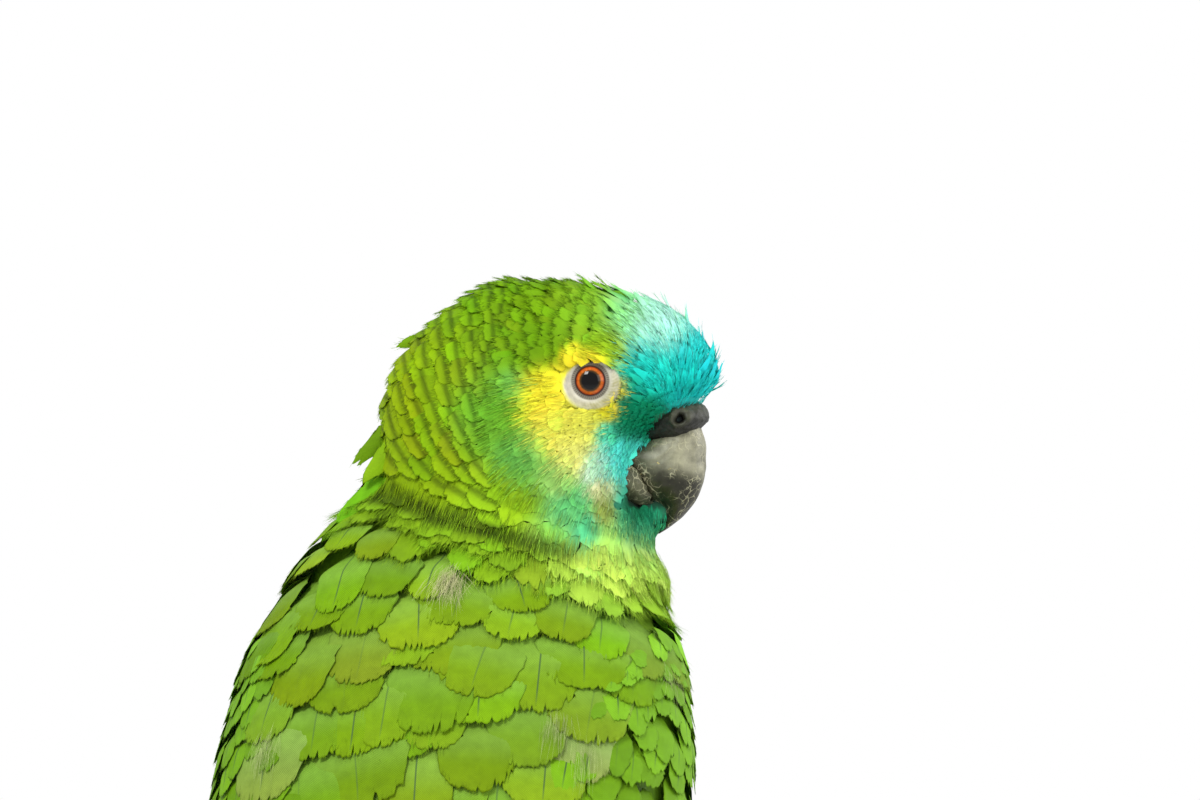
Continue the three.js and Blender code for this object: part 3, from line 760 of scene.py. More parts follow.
def plumage_material(name, fringe, darkness, barb_gap, shaft, contrast=0.12):
    """Feather: coat colour, ragged dark fringe (mm), fine slanting barbs and a shaft line."""
    look = Look(name, 0.6, 0.08)
    x, y, edge = look.parts(look.attribute("Vane"))
    seed = look.attribute("Vane", "Alpha")
    x = look.maths("MULTIPLY_ADD", x, 20.0, -10.0)
    y = look.maths("MULTIPLY", y, 100.0)
    edge = look.maths("MULTIPLY", edge, 10.0)
    off_shaft = look.maths("ABSOLUTE", x)
    slant = look.maths("MULTIPLY_ADD", off_shaft, -0.9, y)
    slant = look.maths("MULTIPLY_ADD", look.noise(260.0, 2.0), 1.1, slant)
    barbs = look.maths("SINE", look.maths("MULTIPLY", slant, 2 * math.pi / barb_gap))
    light = look.spread(barbs, -1.0, 1.0, 1 - contrast, 1 + 0.5 * contrast)
    light = look.maths("MULTIPLY", light, look.spread(seed, 0.0, 1.0, 0.9, 1.1))
    light = look.maths("MULTIPLY", light, look.spread(look.noise(300.0, 5.0), 0.3, 0.7, 0.88, 1.1))
    colour = look.lit(look.attribute("Coat"), light)
    rough_edge = look.maths("MULTIPLY_ADD", look.noise(900.0, 2.0), fringe * 0.9, edge)
    dark = look.spread(rough_edge, fringe * 1.6, fringe * 0.3, 0.0, darkness)
    patches = look.spread(look.noise(120.0, 3.0), 0.42, 0.56, 0.2, 1.0)
    colour = look.blend("MULTIPLY", look.maths("MULTIPLY", dark, patches), colour, (0.22, 0.26, 0.16))
    if shaft:
        near = look.spread(off_shaft, 0.30, 0.12, 0.0, shaft)
        near = look.maths("MULTIPLY", near, look.spread(edge, 1.0, 6.0))
        near = look.maths("MULTIPLY", near, look.spread(seed, 0.2, 0.7))
        colour = look.blend("MIX", near, colour, linear(66, 92, 56))
    look.put("Base Color", colour)
    look.bump(barbs, 0.3, 0.0001)
    return look.material


def surface_material(name, low, high, scale, roughness, height, distance):
    """Matt, with a fine bump: mottled between two colours, or the Coat colour times two numbers."""
    look = Look(name, roughness, 0.4)
    mottle, grain = look.noise(scale, 6.0), look.noise(scale * 4.3, 3.0)
    if isinstance(low, float):
        colour = look.lit(look.attribute("Coat"), look.spread(mottle, 0.3, 0.7, low, high))
    else:
        colour = look.blend("MIX", look.spread(mottle, 0.34, 0.66), low, high)
    look.put("Base Color", colour)
    look.put("Roughness", look.spread(grain, 0.3, 0.7, roughness - 0.1, roughness + 0.1))
    look.bump(look.maths("MULTIPLY_ADD", grain, 0.5, mottle), height, distance)
    return look.material


# ---------- the bird's surface and its zones

FLESH = ["head", "neck", "trunk", "tail"]
FLESH += [f"{part}_{side}" for part in ("wing", "thigh", "shank", "foot") for side in SIDES]
HORN = ["bill_upper", "bill_lower", "cere", "eye_right", "eye_left"]
ZONES = {
    "head": ["head"],
    "neck": ["neck"],
    "trunk": ["trunk"],
    "tail": ["tail"],
    "wing_right": ["wing_right"],
    "wing_left": ["wing_left"],
    "thigh": ["thigh_right", "thigh_left"],
    "foot": ["shank_right", "shank_left", "foot_right", "foot_left"],
    "bill": ["bill_upper", "bill_lower"],
    "cere": ["cere"],
    "eye": ["eye_right", "eye_left"],
}
ZONE_NAMES = list(ZONES)
VOXEL = 1.15 * MM

zone_trees = {name: Surface(solid_copy(nodes)) for name, nodes in ZONES.items()}


def tucked(points):
    """The throat drawn in a little behind the hook of the bill."""
    places = head_places(points)
    share = ramp(18, 23, places[:, 0]) * ramp(-21, -26, places[:, 1]) * ramp(-46, -36, places[:, 1])
    near = share > 0
    share[near] *= ramp(0.1, 0.8, zone_trees["bill"].gaps(points[near]) / MM)
    return points - (2.6 * MM * share)[:, None] * HEAD_FORWARD


outer_mesh = refined(solid_copy(FLESH + HORN), VOXEL, 14)
set_vertices(outer_mesh, tucked(vertex_values(outer_mesh, "co")))
outer = Surface(outer_mesh)


def zones_of(points):
    """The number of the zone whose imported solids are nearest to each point."""
    gaps = np.stack([zone_trees[name].gaps(points) for name in ZONE_NAMES], 1)
    return np.argmin(gaps, axis=1)


face_middles = outer.points[outer.faces].mean(1)
FACE_ZONES = zones_of(face_middles)
ZONE = {name: i for i, name in enumerate(ZONE_NAMES)}


def in_zone(faces, *names):
    return np.isin(FACE_ZONES[faces], [ZONE[name] for name in names])


def horn_gaps(points):
    """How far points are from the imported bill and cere."""
    return np.minimum(zone_trees["bill"].gaps(points), zone_trees["cere"].gaps(points))


def eye_gap(points):
    """Elliptic distance from the bare ring round the eye on the same side: 1 is its edge."""
    forward, up, right = head_places(points).T
    gap = np.hypot((forward - EYE_FORWARD / MM - 0.6) / 6.9, (up - EYE_UP / MM + 1.1) / 6.0)
    return np.where((np.abs(right) > 8) & (up > -12), gap, 9.0)


def bill_distance(points):
    """How far points are from the middle of the bill's base, in mm."""
    return np.linalg.norm(head_places(points) - BILL_BASE, axis=1)


def beside_mandible(points):
    """1 where the lower bill's side lies bare, fading to 0 round it."""
    places = head_places(points)
    edge = 18.6 + 0.5 * np.clip(places[:, 1] + 16, -10, 0)
    ahead = ramp(edge - 0.9, edge + 0.9, places[:, 0])
    return ahead * ramp(-26.8, -25.2, places[:, 1]) * ramp(-11, -14, places[:, 1])


EXPOSURE = ((8, 1.2), (20, 1.7), (30, 2.3), (42, 3.0), (60, 3.6), (76, 4.6))


def exposure(distance):
    """How much of a head feather shows, by its distance from the bill's base, in mm."""
    return np.interp(distance, *zip(*EXPOSURE))


def row_width(distance):
    """How far apart feathers stand along a row, as a multiple of what shows of them."""
    return 1.2 + 0.5 * ramp(38, 56, distance)


def spacing_mm(points):
    """How far apart body feathers are: closest under the collar, widest low on the mantle."""
    depth = below_collar(points)
    mantle = 6.0 + 4.6 * ramp(3, 22, depth) + 4.4 * ramp(34, 75, depth)
    front = ramp(0.02, -0.03, points[:, 1] + (points[:, 2] - 0.2) * math.tan(BODY_LEAN))
    body = mix(mantle, 4.4 + 3.6 * ramp(0, 60, depth), front)
    return mix(body, 6.5, ramp(175, 160, points[:, 2] / MM))


def spacing(points):
    return spacing_mm(points) * MM


# ---------- skin with lids

COAT_DEPTH = {
    "head": 2.2, "neck": 4.0, "trunk": 4.6, "tail": 3.0, "wing_right": 3.4, "wing_left": 3.4,
    "thigh": 2.2, "foot": 0.0, "bill": 1.3, "cere": 1.3, "eye": 1.3,
}
LID_BEADS = 52
LID_SEGMENTS = 4 * LID_BEADS
LID_PROBE = 40  # mm out from the eye's middle, where the rays towards the face start
LID_RINGS = (  # distances from the sight line, in mm
    3.3, 3.55, 3.75, 3.95, 4.12, 4.3, 4.48, 4.66, 4.9, 5.3, 5.8, 6.3, 6.9, 7.6, 8.5, 9.6,
)


def bare_skin_colour(radius, turn):
    """Lid rim, beaded grey ring, pale bare ring and its olive speckle, by distance from the pupil; the
    lower ring gets painted shade, and the ring under the upper lid a painted shadow.
    """
    olive = linear(150, 146, 92)
    colour = tinted(linear(44, 22, 14), linear(122, 116, 104), ramp(3.75, 4.05, radius))
    beads = 0.5 * np.cos(turn * LID_BEADS) * ramp(3.9, 4.2, radius) * ramp(4.8, 4.45, radius)
    colour = colour * (1 + beads)[..., None]
    colour = tinted(colour, linear(216, 213, 194), ramp(4.55, 5.0, radius))
    low_front = ramp(0.1, 0.9, 0.72 * np.cos(turn) - 0.7 * np.sin(turn)) * ramp(4.8, 5.8, radius)
    speckle = 0.5 + 0.5 * np.sin(turn * 31 + radius * 9) * np.sin(turn * 17 - radius * 13)
    colour = tinted(colour, olive, (0.4 + 0.55 * speckle) * low_front)
    # painted shade: an olive tint over the lower side of the bare ring
    below = ramp(-0.2, -0.9, np.sin(turn)) * ramp(5.0, 6.2, radius)
    colour = tinted(colour, olive, 0.4 * below)
    # painted shadow that the upper lid casts on the ring
    lid_shadow = ramp(0.35, 0.85, np.sin(turn)) * ramp(5.4, 4.4, radius)
    return tinted(colour, linear(58, 44, 22), 0.75 * lid_shadow)


def ring_quads(rings, segments, outward):
    """Quads between closed rings of points, numbered ring by ring."""
    order = np.arange(rings * segments).reshape(rings, segments)
    following = np.roll(order, -1, axis=1)
    quads = np.stack([order[:-1], following[:-1], following[1:], order[1:]], -1).reshape(-1, 4)
    return quads if outward else quads[:, ::-1]


def lids(side):
    """Rings of skin round an eye, from the lid's edge on the eyeball out under the feathers."""
    out = HEAD_RIGHT if side == "right" else -HEAD_RIGHT
    turns = np.linspace(0, 2 * math.pi, LID_SEGMENTS, endpoint=False)
    rings = np.array(LID_RINGS)
    column = rings[:, None]
    forward, up = column * np.cos(turns) * MM, column * np.sin(turns) * MM
    shape = forward.shape
    stretch = np.maximum(column, 7.2) / column
    probe = EYES[side] + (forward * stretch)[..., None] * HEAD_FORWARD
    probe = probe + (up * stretch)[..., None] * UP + out * LID_PROBE * MM
    reach = outer.cast(probe.reshape(-1, 3), np.broadcast_to(-out, (probe.size // 3, 3)))
    face = LID_PROBE - np.minimum(reach, 60 * MM).reshape(shape) / MM
    ball = np.sqrt(np.maximum((EYE_RADIUS / MM) ** 2 - column ** 2, 0.1))
    rim = ball + 0.02 + 0.5 * ramp(3.5, 3.95, column) - 0.5 * ramp(3.6, 3.3, column)
    beads = np.cos(turns * LID_BEADS)[None] * np.exp(-((column - 4.3) / 0.17) ** 2)
    inner = rim + 0.1 * beads + 0.12 * ramp(3.9, 4.3, column)
    fold = 0.12 * np.sin(turns * 9 + 2.0)[None] * np.exp(-((column - 5.6) / 0.5) ** 2)
    grain = 0.05 * rng.normal(size=shape) * ramp(4.6, 5.2, column)
    height = mix(inner, face - 0.35 + fold + grain, ramp(4.1, 6.9, column))
    height = height - 1.9 * ramp(7.4, 9.6, column)
    points = EYES[side] + forward[..., None] * HEAD_FORWARD + up[..., None] * UP
    points = points + out * (height * MM)[..., None]
    buried = ramp(0.99, 1.14, eye_gap(points.reshape(-1, 3)).reshape(shape))
    points = (points - out * (0.8 * MM * buried)[..., None]).reshape(-1, 3)
    colour = bare_skin_colour(column + 0 * forward, turns[None]).reshape(-1, 3)
    colour = tinted(colour, head_colours(points), ramp(0.97, 1.07, eye_gap(points)))
    return points, ring_quads(*shape, side == "right"), colour


def mesh_from(name, points, faces):
    """A smooth-shaded mesh of points and faces."""
    mesh = bpy.data.meshes.new(name)
    mesh.from_pydata([tuple(p) for p in points], [], [tuple(int(i) for i in f) for f in faces])
    mesh.polygons.foreach_set("use_smooth", np.ones(len(faces), bool))
    mesh.update()
    return mesh


def make_skin():
    """The bird's flesh inside its coat, with the lids of both eyes, in the coat's own colours darkened as
    painted shade.
    """
    places, normals = outer.points, outer.normals
    zones = np.zeros(len(places), int)
    zones[outer.faces.ravel()] = np.repeat(FACE_ZONES, 3)
    wing = np.isin(zones, [ZONE["wing_right"], ZONE["wing_left"]])
    depth = np.array([COAT_DEPTH[name] for name in ZONE_NAMES])[zones]
    shallow = 1.0 + 1.2 * ramp(14, 34, bill_distance(places))
    depth = np.where(zones == ZONE["head"], np.minimum(depth, shallow), depth)
    through = outer.cast(places - normals * 0.05 * MM, -normals)
    share = np.where(wing | (zones == ZONE["tail"]), 0.44, 0.3)
    depth = np.minimum(depth, share * np.minimum(through, 1.0) / MM)
    depth = depth + 1.6 * beside_mandible(places)
    for _ in range(14):  # evens the depth out between zones
        total, share = np.zeros(len(places)), np.zeros(len(places))
        for a, b in ((0, 1), (1, 2), (2, 0)):
            np.add.at(total, outer.faces[:, a], depth[outer.faces[:, b]])
            np.add.at(share, outer.faces[:, a], 1)
        depth = 0.5 * depth + 0.5 * total / np.maximum(share, 1)

    colours = coat_colours(places, normals)
    along, _ = wing_places(places)
    colours = np.where((wing & (along > 60))[:, None], linear(52, 96, 34), colours)
    below = below_collar(places)
    # painted shade: the skin a little darker than the coat over it, and darkest in the crease under the
    # head
    under = (0.88 - 0.33 * (ramp(-6, 0, below) * ramp(15, 8, below)))[:, None]
    colours = np.where((zones == ZONE["foot"])[:, None], linear(84, 82, 76), colours * under)
    colours = tinted(linear(22, 22, 20), colours, ramp(0.6, 2.0, horn_gaps(places) / MM))

    points, tones = [places - normals * (depth * MM)[:, None]], [colours]
    faces = [tuple(face.vertices) for face in outer_mesh.polygons]
    count = len(places)
    for side in SIDES:
        lid_points, lid_faces, lid_colours = lids(side)
        faces += [tuple(face) for face in (lid_faces + count).tolist()]
        points.append(lid_points)
        tones.append(lid_colours)
        count += len(lid_points)
    mesh = mesh_from("skin", np.concatenate(points), faces)
    paint(mesh, np.concatenate(tones))
    skin = mesh_object("skin", mesh)
    mesh.materials.append(surface_material("skin", 0.86, 1.12, 900.0, 0.62, 0.5, 0.0002))
    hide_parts(*FLESH)


make_skin()


# ---------- feathers of head and body

KINDS = {
    "brow": dict(
        rows=8, columns=6, depth=1.0, lift=0.40, camber=0.12, thickness=0.10, point=0.75, fray=0.10,
        shuffle=0.25, roll=0.10, ripple=0.03, wisps=7, wisp_length=2.0, wisp_girth=0.07,
        long=3.9, wide=0.62, by_place=True, unruly=0.10, soften=0.6,
    ),
    "face": dict(
        rows=6, columns=6, depth=0.8, lift=0.08, camber=0.05, thickness=0.08, point=0.3, fray=0.14,
        shuffle=0.1, roll=0.03, ripple=0.01, wisps=3, wisp_length=1.4, wisp_girth=0.06,
        long=2.6, wide=0.9, by_place=True, soften=0.85,
    ),
    "crown": dict(
        rows=10, columns=10, depth=1.3, lift=0.22, camber=0.18, thickness=0.12, point=0.22, fray=0.12,
        shuffle=0.12, roll=0.06, ripple=0.04, wisps=44, wisp_length=1.7, wisp_girth=0.06,
        long=2.5, wide=0.80, by_place=True, unruly=0.02, dark_wisps=0.45, soften=0.5,
    ),
    "nape": dict(
        rows=12, columns=14, depth=1.9, lift=0.55, camber=0.25, thickness=0.15, point=0.14, fray=0.06,
        shuffle=0.12, roll=0.08, ripple=0.07, wisps=26, wisp_length=1.5, wisp_girth=0.055,
        long=2.5, wide=0.86, by_place=True, dark_wisps=0.2, soften=0.4, blunt=3.0,
    ),
    "collar": dict(
        rows=14, columns=14, depth=2.6, lift=0.5, camber=0.4, thickness=0.15, point=0.2, fray=0.10,
        shuffle=0.4, roll=0.2, ripple=0.06, wisps=70, wisp_length=3.6, wisp_girth=0.05,
        tears=0.1, dark_wisps=0.18, soften=0.5,
    ),
    "mantle": dict(
        rows=14, columns=40, depth=3.0, lift=0.25, camber=0.25, thickness=0.16, point=0.2, fray=0.03,
        shuffle=0.35, roll=0.16, ripple=0.045, wisps=56, wisp_length=1.7, wisp_girth=0.04, stray=0.17,
        tears=0.10, blunt=2.8, dark_wisps=0.18, soften=0.35, side=5.0, step=0.55, tilt=0.25,
    ),
    "breast": dict(
        rows=9, columns=12, depth=3.0, lift=0.35, camber=0.4, thickness=0.16, point=0.24, fray=0.06,
        shuffle=0.2, roll=0.15, ripple=0.05, wisps=10, wisp_length=2.2, wisp_girth=0.06, soften=0.5,
        step=0.6, tilt=0.12, side=4.0,
    ),
}


def clear_of_horn(places, least):
    """True where feathers may root: a distance from bill and cere, off the bare mandible."""
    return (horn_gaps(places) > least) & (beside_mandible(places) < 0.5)


def level_line(values, level, allowed):
    """Where a value on the surface's corners crosses a level, as places on its faces."""
    corners = values[outer.faces] - level
    crossed = allowed & (corners.min(1) < 0) & (corners.max(1) >= 0)
    faces, corners = outer.faces[crossed], corners[crossed]
    total, share = np.zeros((len(faces), 3)), np.zeros((len(faces), 1))
    for a, b in ((0, 1), (1, 2), (2, 0)):
        cut = (corners[:, a] < 0) != (corners[:, b] < 0)
        t = np.where(cut, corners[:, a] / np.where(cut, corners[:, a] - corners[:, b], 1), 0)[:, None]
        place = mix(outer.points[faces[:, a]], outer.points[faces[:, b]], t)
        total += np.where(cut[:, None], place, 0)
        share += cut[:, None]
    return total / share


def row_level(points):
    """The head's rows follow lines of equal level: round the bill's base, and level behind."""
    places = head_places(points)
    forward, up, right = places.T
    waves = np.sin(forward * 0.31 + right * 0.23) * np.sin(up * 0.27 - right * 0.19)
    return bill_distance(points) - SAG * up + 0.9 * waves


def head_rows():
    """Seeds in rows round the face, each row on one level."""
    distance = row_level(outer.points)
    allowed = np.isin(FACE_ZONES, [ZONE["head"], ZONE["neck"]])
    allowed &= below_collar(face_middles) < 0.5
    seeds = []
    bins = np.linspace(-math.pi, math.pi, 241)
    level, last_level = 6.0, 100
    while level < last_level:
        show = float(exposure(level))
        line = level_line(distance, level, allowed)
        if len(line) > 6:
            away = head_places(line) - BILL_BASE
            turn = np.arctan2(away[:, 1], away[:, 2])
            slot = np.digitize(turn, bins)
            held = np.unique(slot)
            line = np.array([line[slot == k].mean(0) for k in held])
            gaps = np.linalg.norm(np.diff(line, axis=0), axis=1)
            reach = np.concatenate([[0], np.cumsum(gaps)])
            step = show * row_width(level) * MM
            wanted = np.arange(rng.random() * step, reach[-1], step)
            wanted = wanted + 0.1 * step * rng.normal(size=len(wanted))
            places = np.stack([np.interp(wanted, reach, line[:, k]) for k in range(3)], 1)
            loose = 0.16 * ramp(27, 33, level) * ramp(50, 43, level) * show * MM
            places = places + loose * rng.normal(size=places.shape)
            span = np.clip(np.searchsorted(reach, wanted) - 1, 0, len(gaps) - 1)
            seeds.append(places[gaps[span] < 5 * MM])
        level += show
    return outer.nearest(np.concatenate(seeds))


def body_seed(places, faces):
    """Where body feathers may root: not on bill, cere, eyes, feet, tail or the wings."""
    free = in_zone(faces, "head", "neck", "trunk", "thigh")
    across_mm, up_mm = np.abs(places[:, 0]) / MM, places[:, 2] / MM
    facing_back = outer.normals_at(places, faces)[:, 1] > 0.3
    rump = in_zone(faces, "wing_right", "wing_left") & facing_back
    rump &= (across_mm < 11 + 0.15 * (up_mm - 100)) & (up_mm < 182)
    return (free | rump) & (below_collar(places) > -0.5)


head_seeds, head_normals = head_rows()
keep = (eye_gap(head_seeds) > 1.0) & clear_of_horn(head_seeds, 0.35 * MM)
head_seeds, head_normals = head_seeds[keep], head_normals[keep]
body_seeds, body_normals = settle(spacing, 30000, body_seed)
keep = (below_collar(body_seeds) > -1) & (zone_trees["foot"].gaps(body_seeds) > 2.5 * MM)
body_seeds, body_normals = body_seeds[keep], body_normals[keep]

feather = plumage_material("feather", 0.4, 0.85, 0.4, 0.0, 0.16)
soft_feather = plumage_material("soft_feather", 0.1, 0.15, 0.35, 0.0)
mantle_feather = plumage_material("mantle_feather", 0.6, 0.34, 0.5, 0.8, 0.22)


def lay_kind(name, seeds, normals, long, wide, material, colours):
    """One piece of coat from seeds on the outer surface; long and wide are lengths and half-widths."""
    kind = KINDS[name]
    flow = coat_flow(seeds, normals)
    flow = along_surface(flow + kind.get("stray", 0.08) * rng.normal(size=flow.shape), normals)
    for _ in range(4):  # feathers stop short of the bare ring and of the bill's hook
        tips = seeds + flow * long[:, None]
        over = (eye_gap(seeds) > 1.0) & (eye_gap(tips) < 1.06)
        over |= (zone_trees["bill"].gaps(tips) < 1.2 * MM) & (head_places(tips)[:, 1] < -22)
        long = np.where(over, long * 0.72, long)
    wide = np.minimum(wide, long * 0.6)
    coat = Coat()
    lay_vanes(coat, *walk(seeds, normals, flow, long, wide), kind, colours, long, wide)
    coat.finish(f"coat_{name}", material)


def tones(count, spread_by=0.1):
    """A little lighter or darker, and a little off in hue, for each feather."""
    light = np.exp(spread_by * rng.normal(size=(count, 1)))
    return light * varied((count, 3), 0.05)


def painted_row_shade(shade, uu, vv):
    """Painted shade where a feather comes out from under the row before it; brightest near its tip."""
    # painted shade on the band just past the tip of the row before
    hidden = ramp(0.50, 0.60, vv) * ramp(0.76, 0.62, vv)
    light = (1 - 0.58 * hidden) * (0.92 + 0.16 * ramp(0.7, 0.95, vv))
    return shade * light[..., None]


KINDS["nape"]["tint"] = painted_row_shade
places = head_places(head_seeds)
bill_away = bill_distance(head_seeds)
head_level = row_level(head_seeds)
head_kind = np.full(len(head_seeds), "crown", dtype=object)
head_kind[bill_away > 46] = "nape"
head_kind[(bill_away < 30) | ((bill_away < 44) & (places[:, 1] < 4) & (places[:, 0] > -20))] = "face"
head_kind[(places[:, 0] > 14) & (places[:, 1] > -1) & (bill_away < 36)] = "brow"
for name in ("brow", "face", "crown", "nape"):
    chosen = np.flatnonzero(head_kind == name)
    show = exposure(head_level[chosen]) * MM
    overhang = np.exp(-((below_collar(head_seeds[chosen]) + 3) / 4) ** 2)
    long = show * KINDS[name]["long"] * varied(len(chosen), 0.05) * (1 + 0.55 * overhang)
    wide = show * row_width(head_level[chosen]) * KINDS[name]["wide"]
    material = soft_feather if name in ("brow", "face") else feather
    tone = tones(len(chosen), 0.05)
    lay_kind(name, head_seeds[chosen], head_normals[chosen], long, wide, material, tone)


DOWN_PLACES = [  # across, back and up of the stand's middle, in mm; barbs; length; how far they stray
    (-2.9, 4.6, 277, 260, 9, 0.30), (-34, 17, 242, 90, 10, 0.10), (-40.5, 19, 235, 80, 10, 0.10),
    (40, 18.7, 236, 110, 10, 0.12), (-55, -10, 252, 50, 8, 0.2),
]
MANTLE_TONES = [
    linear(110, 150, 10), linear(116, 157, 12), linear(108, 146, 6),
    linear(120, 158, 16), linear(126, 166, 26), linear(134, 172, 36),
]


def mantle_tint(shade, uu, vv):
    """Paler and bluer towards the hidden base, a little yellower towards the tip."""
    shade = tinted(shade, linear(130, 174, 74), 0.5 * ramp(0.74, 0.40, vv))
    return shade * tinted(np.ones(3), np.array([1.08, 1.0, 0.8]), ramp(0.6, 0.95, vv))


KINDS["mantle"]["tint"] = mantle_tint
behind = (body_normals[:, 1] > -0.15) & (body_seeds[:, 2] > 0.2)
body_depth = below_collar(body_seeds)
body_kind = np.where(behind, "mantle", "breast").astype(object)
body_kind[body_depth < 8] = "collar"
for name in ("mantle", "breast", "collar"):
    chosen = np.flatnonzero(body_kind == name)
    gap = spacing(body_seeds[chosen])
    long = gap * 2.3 * varied(len(chosen), 0.12)
    wide = gap * (0.98 if name == "mantle" else 0.86) * varied(len(chosen), 0.1)
    flow = coat_flow(body_seeds[chosen], body_normals[chosen])
    exposed = body_seeds[chosen] + flow * long[:, None] * 0.6
    colours = coat_colours(exposed, body_normals[chosen])
    if name == "mantle":
        odds = np.array([5, 6, 4, 5, 3, 1]) / 24
        own = np.array(MANTLE_TONES)[rng.choice(len(MANTLE_TONES), len(chosen), p=odds)]
        colours = tinted(colours, own, 0.8 * ramp(4, 14, body_depth[chosen]))
        for across_mm, back_mm, up_mm, *_ in DOWN_PLACES[1:]:
            away = np.linalg.norm(exposed / MM - np.array([across_mm, back_mm, up_mm]), axis=1)
            colours = tinted(colours, linear(160, 184, 110), 0.6 * np.exp(-(away / 7) ** 2))
    colours = colours * tones(len(chosen), 0.06)
    material = feather if name == "collar" else mantle_feather
    lay_kind(name, body_seeds[chosen], body_normals[chosen], long, wide, material, colours)


# ---------- fine barbs of face and collar

HAIR = (  # name, spacing, length, girth, root depth and how far the tip stands off, all in mm
    ("face", 0.52, 3.2, 0.085, 0.4, 0.22),
    ("ear", 0.72, 4.0, 0.09, 0.4, 0.28),
    ("collar", 0.80, 5.0, 0.065, 0.4, 0.60),
)


def hair_region(name, places, faces):
    """Which of the places a layer of fine barbs covers."""
    forward, up, _ = head_places(places).T
    depth = below_collar(places)
    away = bill_distance(places)
    free = in_zone(faces, "head", "neck") & (eye_gap(places) > 1.02)
    face = (away < 31) & (depth < -2)
    if name == "face":
        return free & face
    if name == "collar":
        return free & (depth > -1) & (depth < 9)
    return free & (away < 48) & (up < 6) & (forward > -22) & (depth < -3) & ~face


def near_face(places):
    """A close spacing where fine barbs may lie and a wide one elsewhere."""
    near = (below_collar(places) < 12) & (np.linalg.norm(head_places(places), axis=1) < 75)
    return np.where(near, MM, 60 * MM)


def lay_hair(name, gap, long, girth, depth, lift):
    """Fine barbs, closer than feathers can be, over the face and in the crease under the head."""
    places, normals, faces = outer.sprinkle(int(18000 / gap ** 2), near_face)
    keep = hair_region(name, places, faces)
    places, normals = places[keep], normals[keep]
    keep = clear_of_horn(places, 0.3 * MM)
    places, normals = places[keep], normals[keep]
    each = (len(places), 1)
    flow = coat_flow(places, normals)
    flow = along_surface(flow + 0.08 * rng.normal(size=flow.shape), normals)
    reach = long * MM * (0.6 + 0.6 * rng.random(len(places)))
    reach *= np.clip(exposure(bill_distance(places)) / 2.2, 0.6, 1.2)
    for _ in range(4):
        over = eye_gap(places + flow * reach[:, None]) < 1.0
        reach = np.where(over, reach * 0.7, reach)
    reach = reach[:, None]
    middles, middle_normals = outer.nearest(places + flow * reach * 0.45)
    tips, tip_normals = outer.nearest(places + flow * reach)
    rise = (lift * (0.3 + 1.1 * rng.random(each) ** 2)) * MM
    drift = reach * rng.random(each) * 1.2 + 1.3 * MM * rng.normal(size=each)
    colours = coat_colours(places + flow * drift, normals)
    light = np.exp(0.15 * rng.normal(size=each))
    light = np.where(rng.random(each) < 0.07, light * 0.55, light)
    girths = girth * MM * (0.7 + 0.5 * rng.random(each))
    coat = Coat()
    add_needles(
        coat, places - normals * depth * MM, middles + middle_normals * rise * 0.75,
        tips + tip_normals * rise, middle_normals, girths, np.clip(colours * light, 0, 1),
        skin_unwrap(places),
    )
    coat.finish(f"coat_barbs_{name}", soft_feather)


for row in HAIR:
    lay_hair(*row)


# ---------- tufts that stand out

def tuft_start(root, toward, count, scatter, stray):
    """Where a tuft's feathers root on the bird, the normals there and which way they lie."""
    start = np.asarray(root) + scatter * MM * rng.normal(size=(count, 3))
    seeds, normals = outer.nearest(start)
    return seeds, normals, along_surface(toward + stray * rng.normal(size=(count, 3)), normals)


def lay_tuft(coat, kind, root, toward, count, long, wide, rise, scatter, colour):
    """A few narrow feathers fanned from one place on the bird; their tips rise off the body."""
    seeds, normals, flow = tuft_start(root, toward, count, scatter, 0.16)
    lengths = long * MM * varied(count, 0.15)
    widths = wide * MM * varied(count, 0.15)
    places, ups = walk(seeds, normals, flow, lengths, widths)
    steps = np.linspace(0, 1, places.shape[1])[None, :, None]
    off = rise * (0.7 + 0.6 * rng.random((count, 1, 1))) * MM * steps ** 1.5
    places = places + (ups * off)[:, :, None]
    lay_vanes(coat, places, ups, kind, colour * tones(count, 0.08), lengths, widths)


def down_tuft(coat, root, toward, count, long, stray, girth, colour):
    """A wisp of fine down that shows between feathers."""
    seeds, normals, flow = tuft_start(root, toward, count, 1.8, stray)
    reach = long * MM * (0.5 + 0.7 * rng.random((count, 1)))
    middles, lifts = outer.nearest(seeds + flow * reach * 0.5)
    tips, tip_lifts = outer.nearest(seeds + flow * reach)
    rise = MM * (0.7 + 1.0 * rng.random((count, 1)))
    tone = colour * np.exp(0.15 * rng.normal(size=(count, 1)))
    add_needles(coat, seeds + normals * 0.2 * MM, middles + lifts * rise, tips + tip_lifts * rise * 1.1,
                lifts, np.full((count, 1), girth * MM), tone, skin_unwrap(seeds))


LEAVES = [  # forward, up and right of the head's middle; fall in degrees; length; half-width; colour
    (-38, -4.0, 3, 38, 18, 2.8, linear(112, 156, 10)), (-37.5, -7.5, 6, 46, 17, 3.2, linear(128, 170, 16)),
    (-38, -11, 4, 54, 15, 3.2, linear(104, 150, 10)), (-34.5, 15.5, 2, 14, 7, 1.6, linear(116, 160, 14)),
    (-41, -20, 6, 34, 19, 4.4, linear(112, 180, 20)), (-45, -25.5, 5, 40, 17, 4.2, linear(104, 170, 20)),
    (-1.0, 28.2, 1, -9, 10, 1.5, linear(112, 168, 10)), (-4.0, 28.2, 3, -4, 9, 1.6, linear(104, 160, 8)),
    (17.5, 25.8, 1, -10, 10, 1.4, linear(120, 184, 44)), (14.0, 26.6, 3, -3, 8, 1.4, linear(112, 176, 30)),
]
SPIKES = [  # forward, up and right; feathers; length; half-width; rise; how far they point back
    (31.5, 18.0, 1, 4, 5.0, 0.9, 1.8, 0.5), (28.0, 21.0, 0, 4, 5.5, 1.0, 1.9, 0.6),
    (35.5, 14.0, 1, 3, 4.0, 0.8, 1.3, 0.4), (38.5, 8.0, 0, 4, 3.8, 0.8, 1.4, 0.2),
]


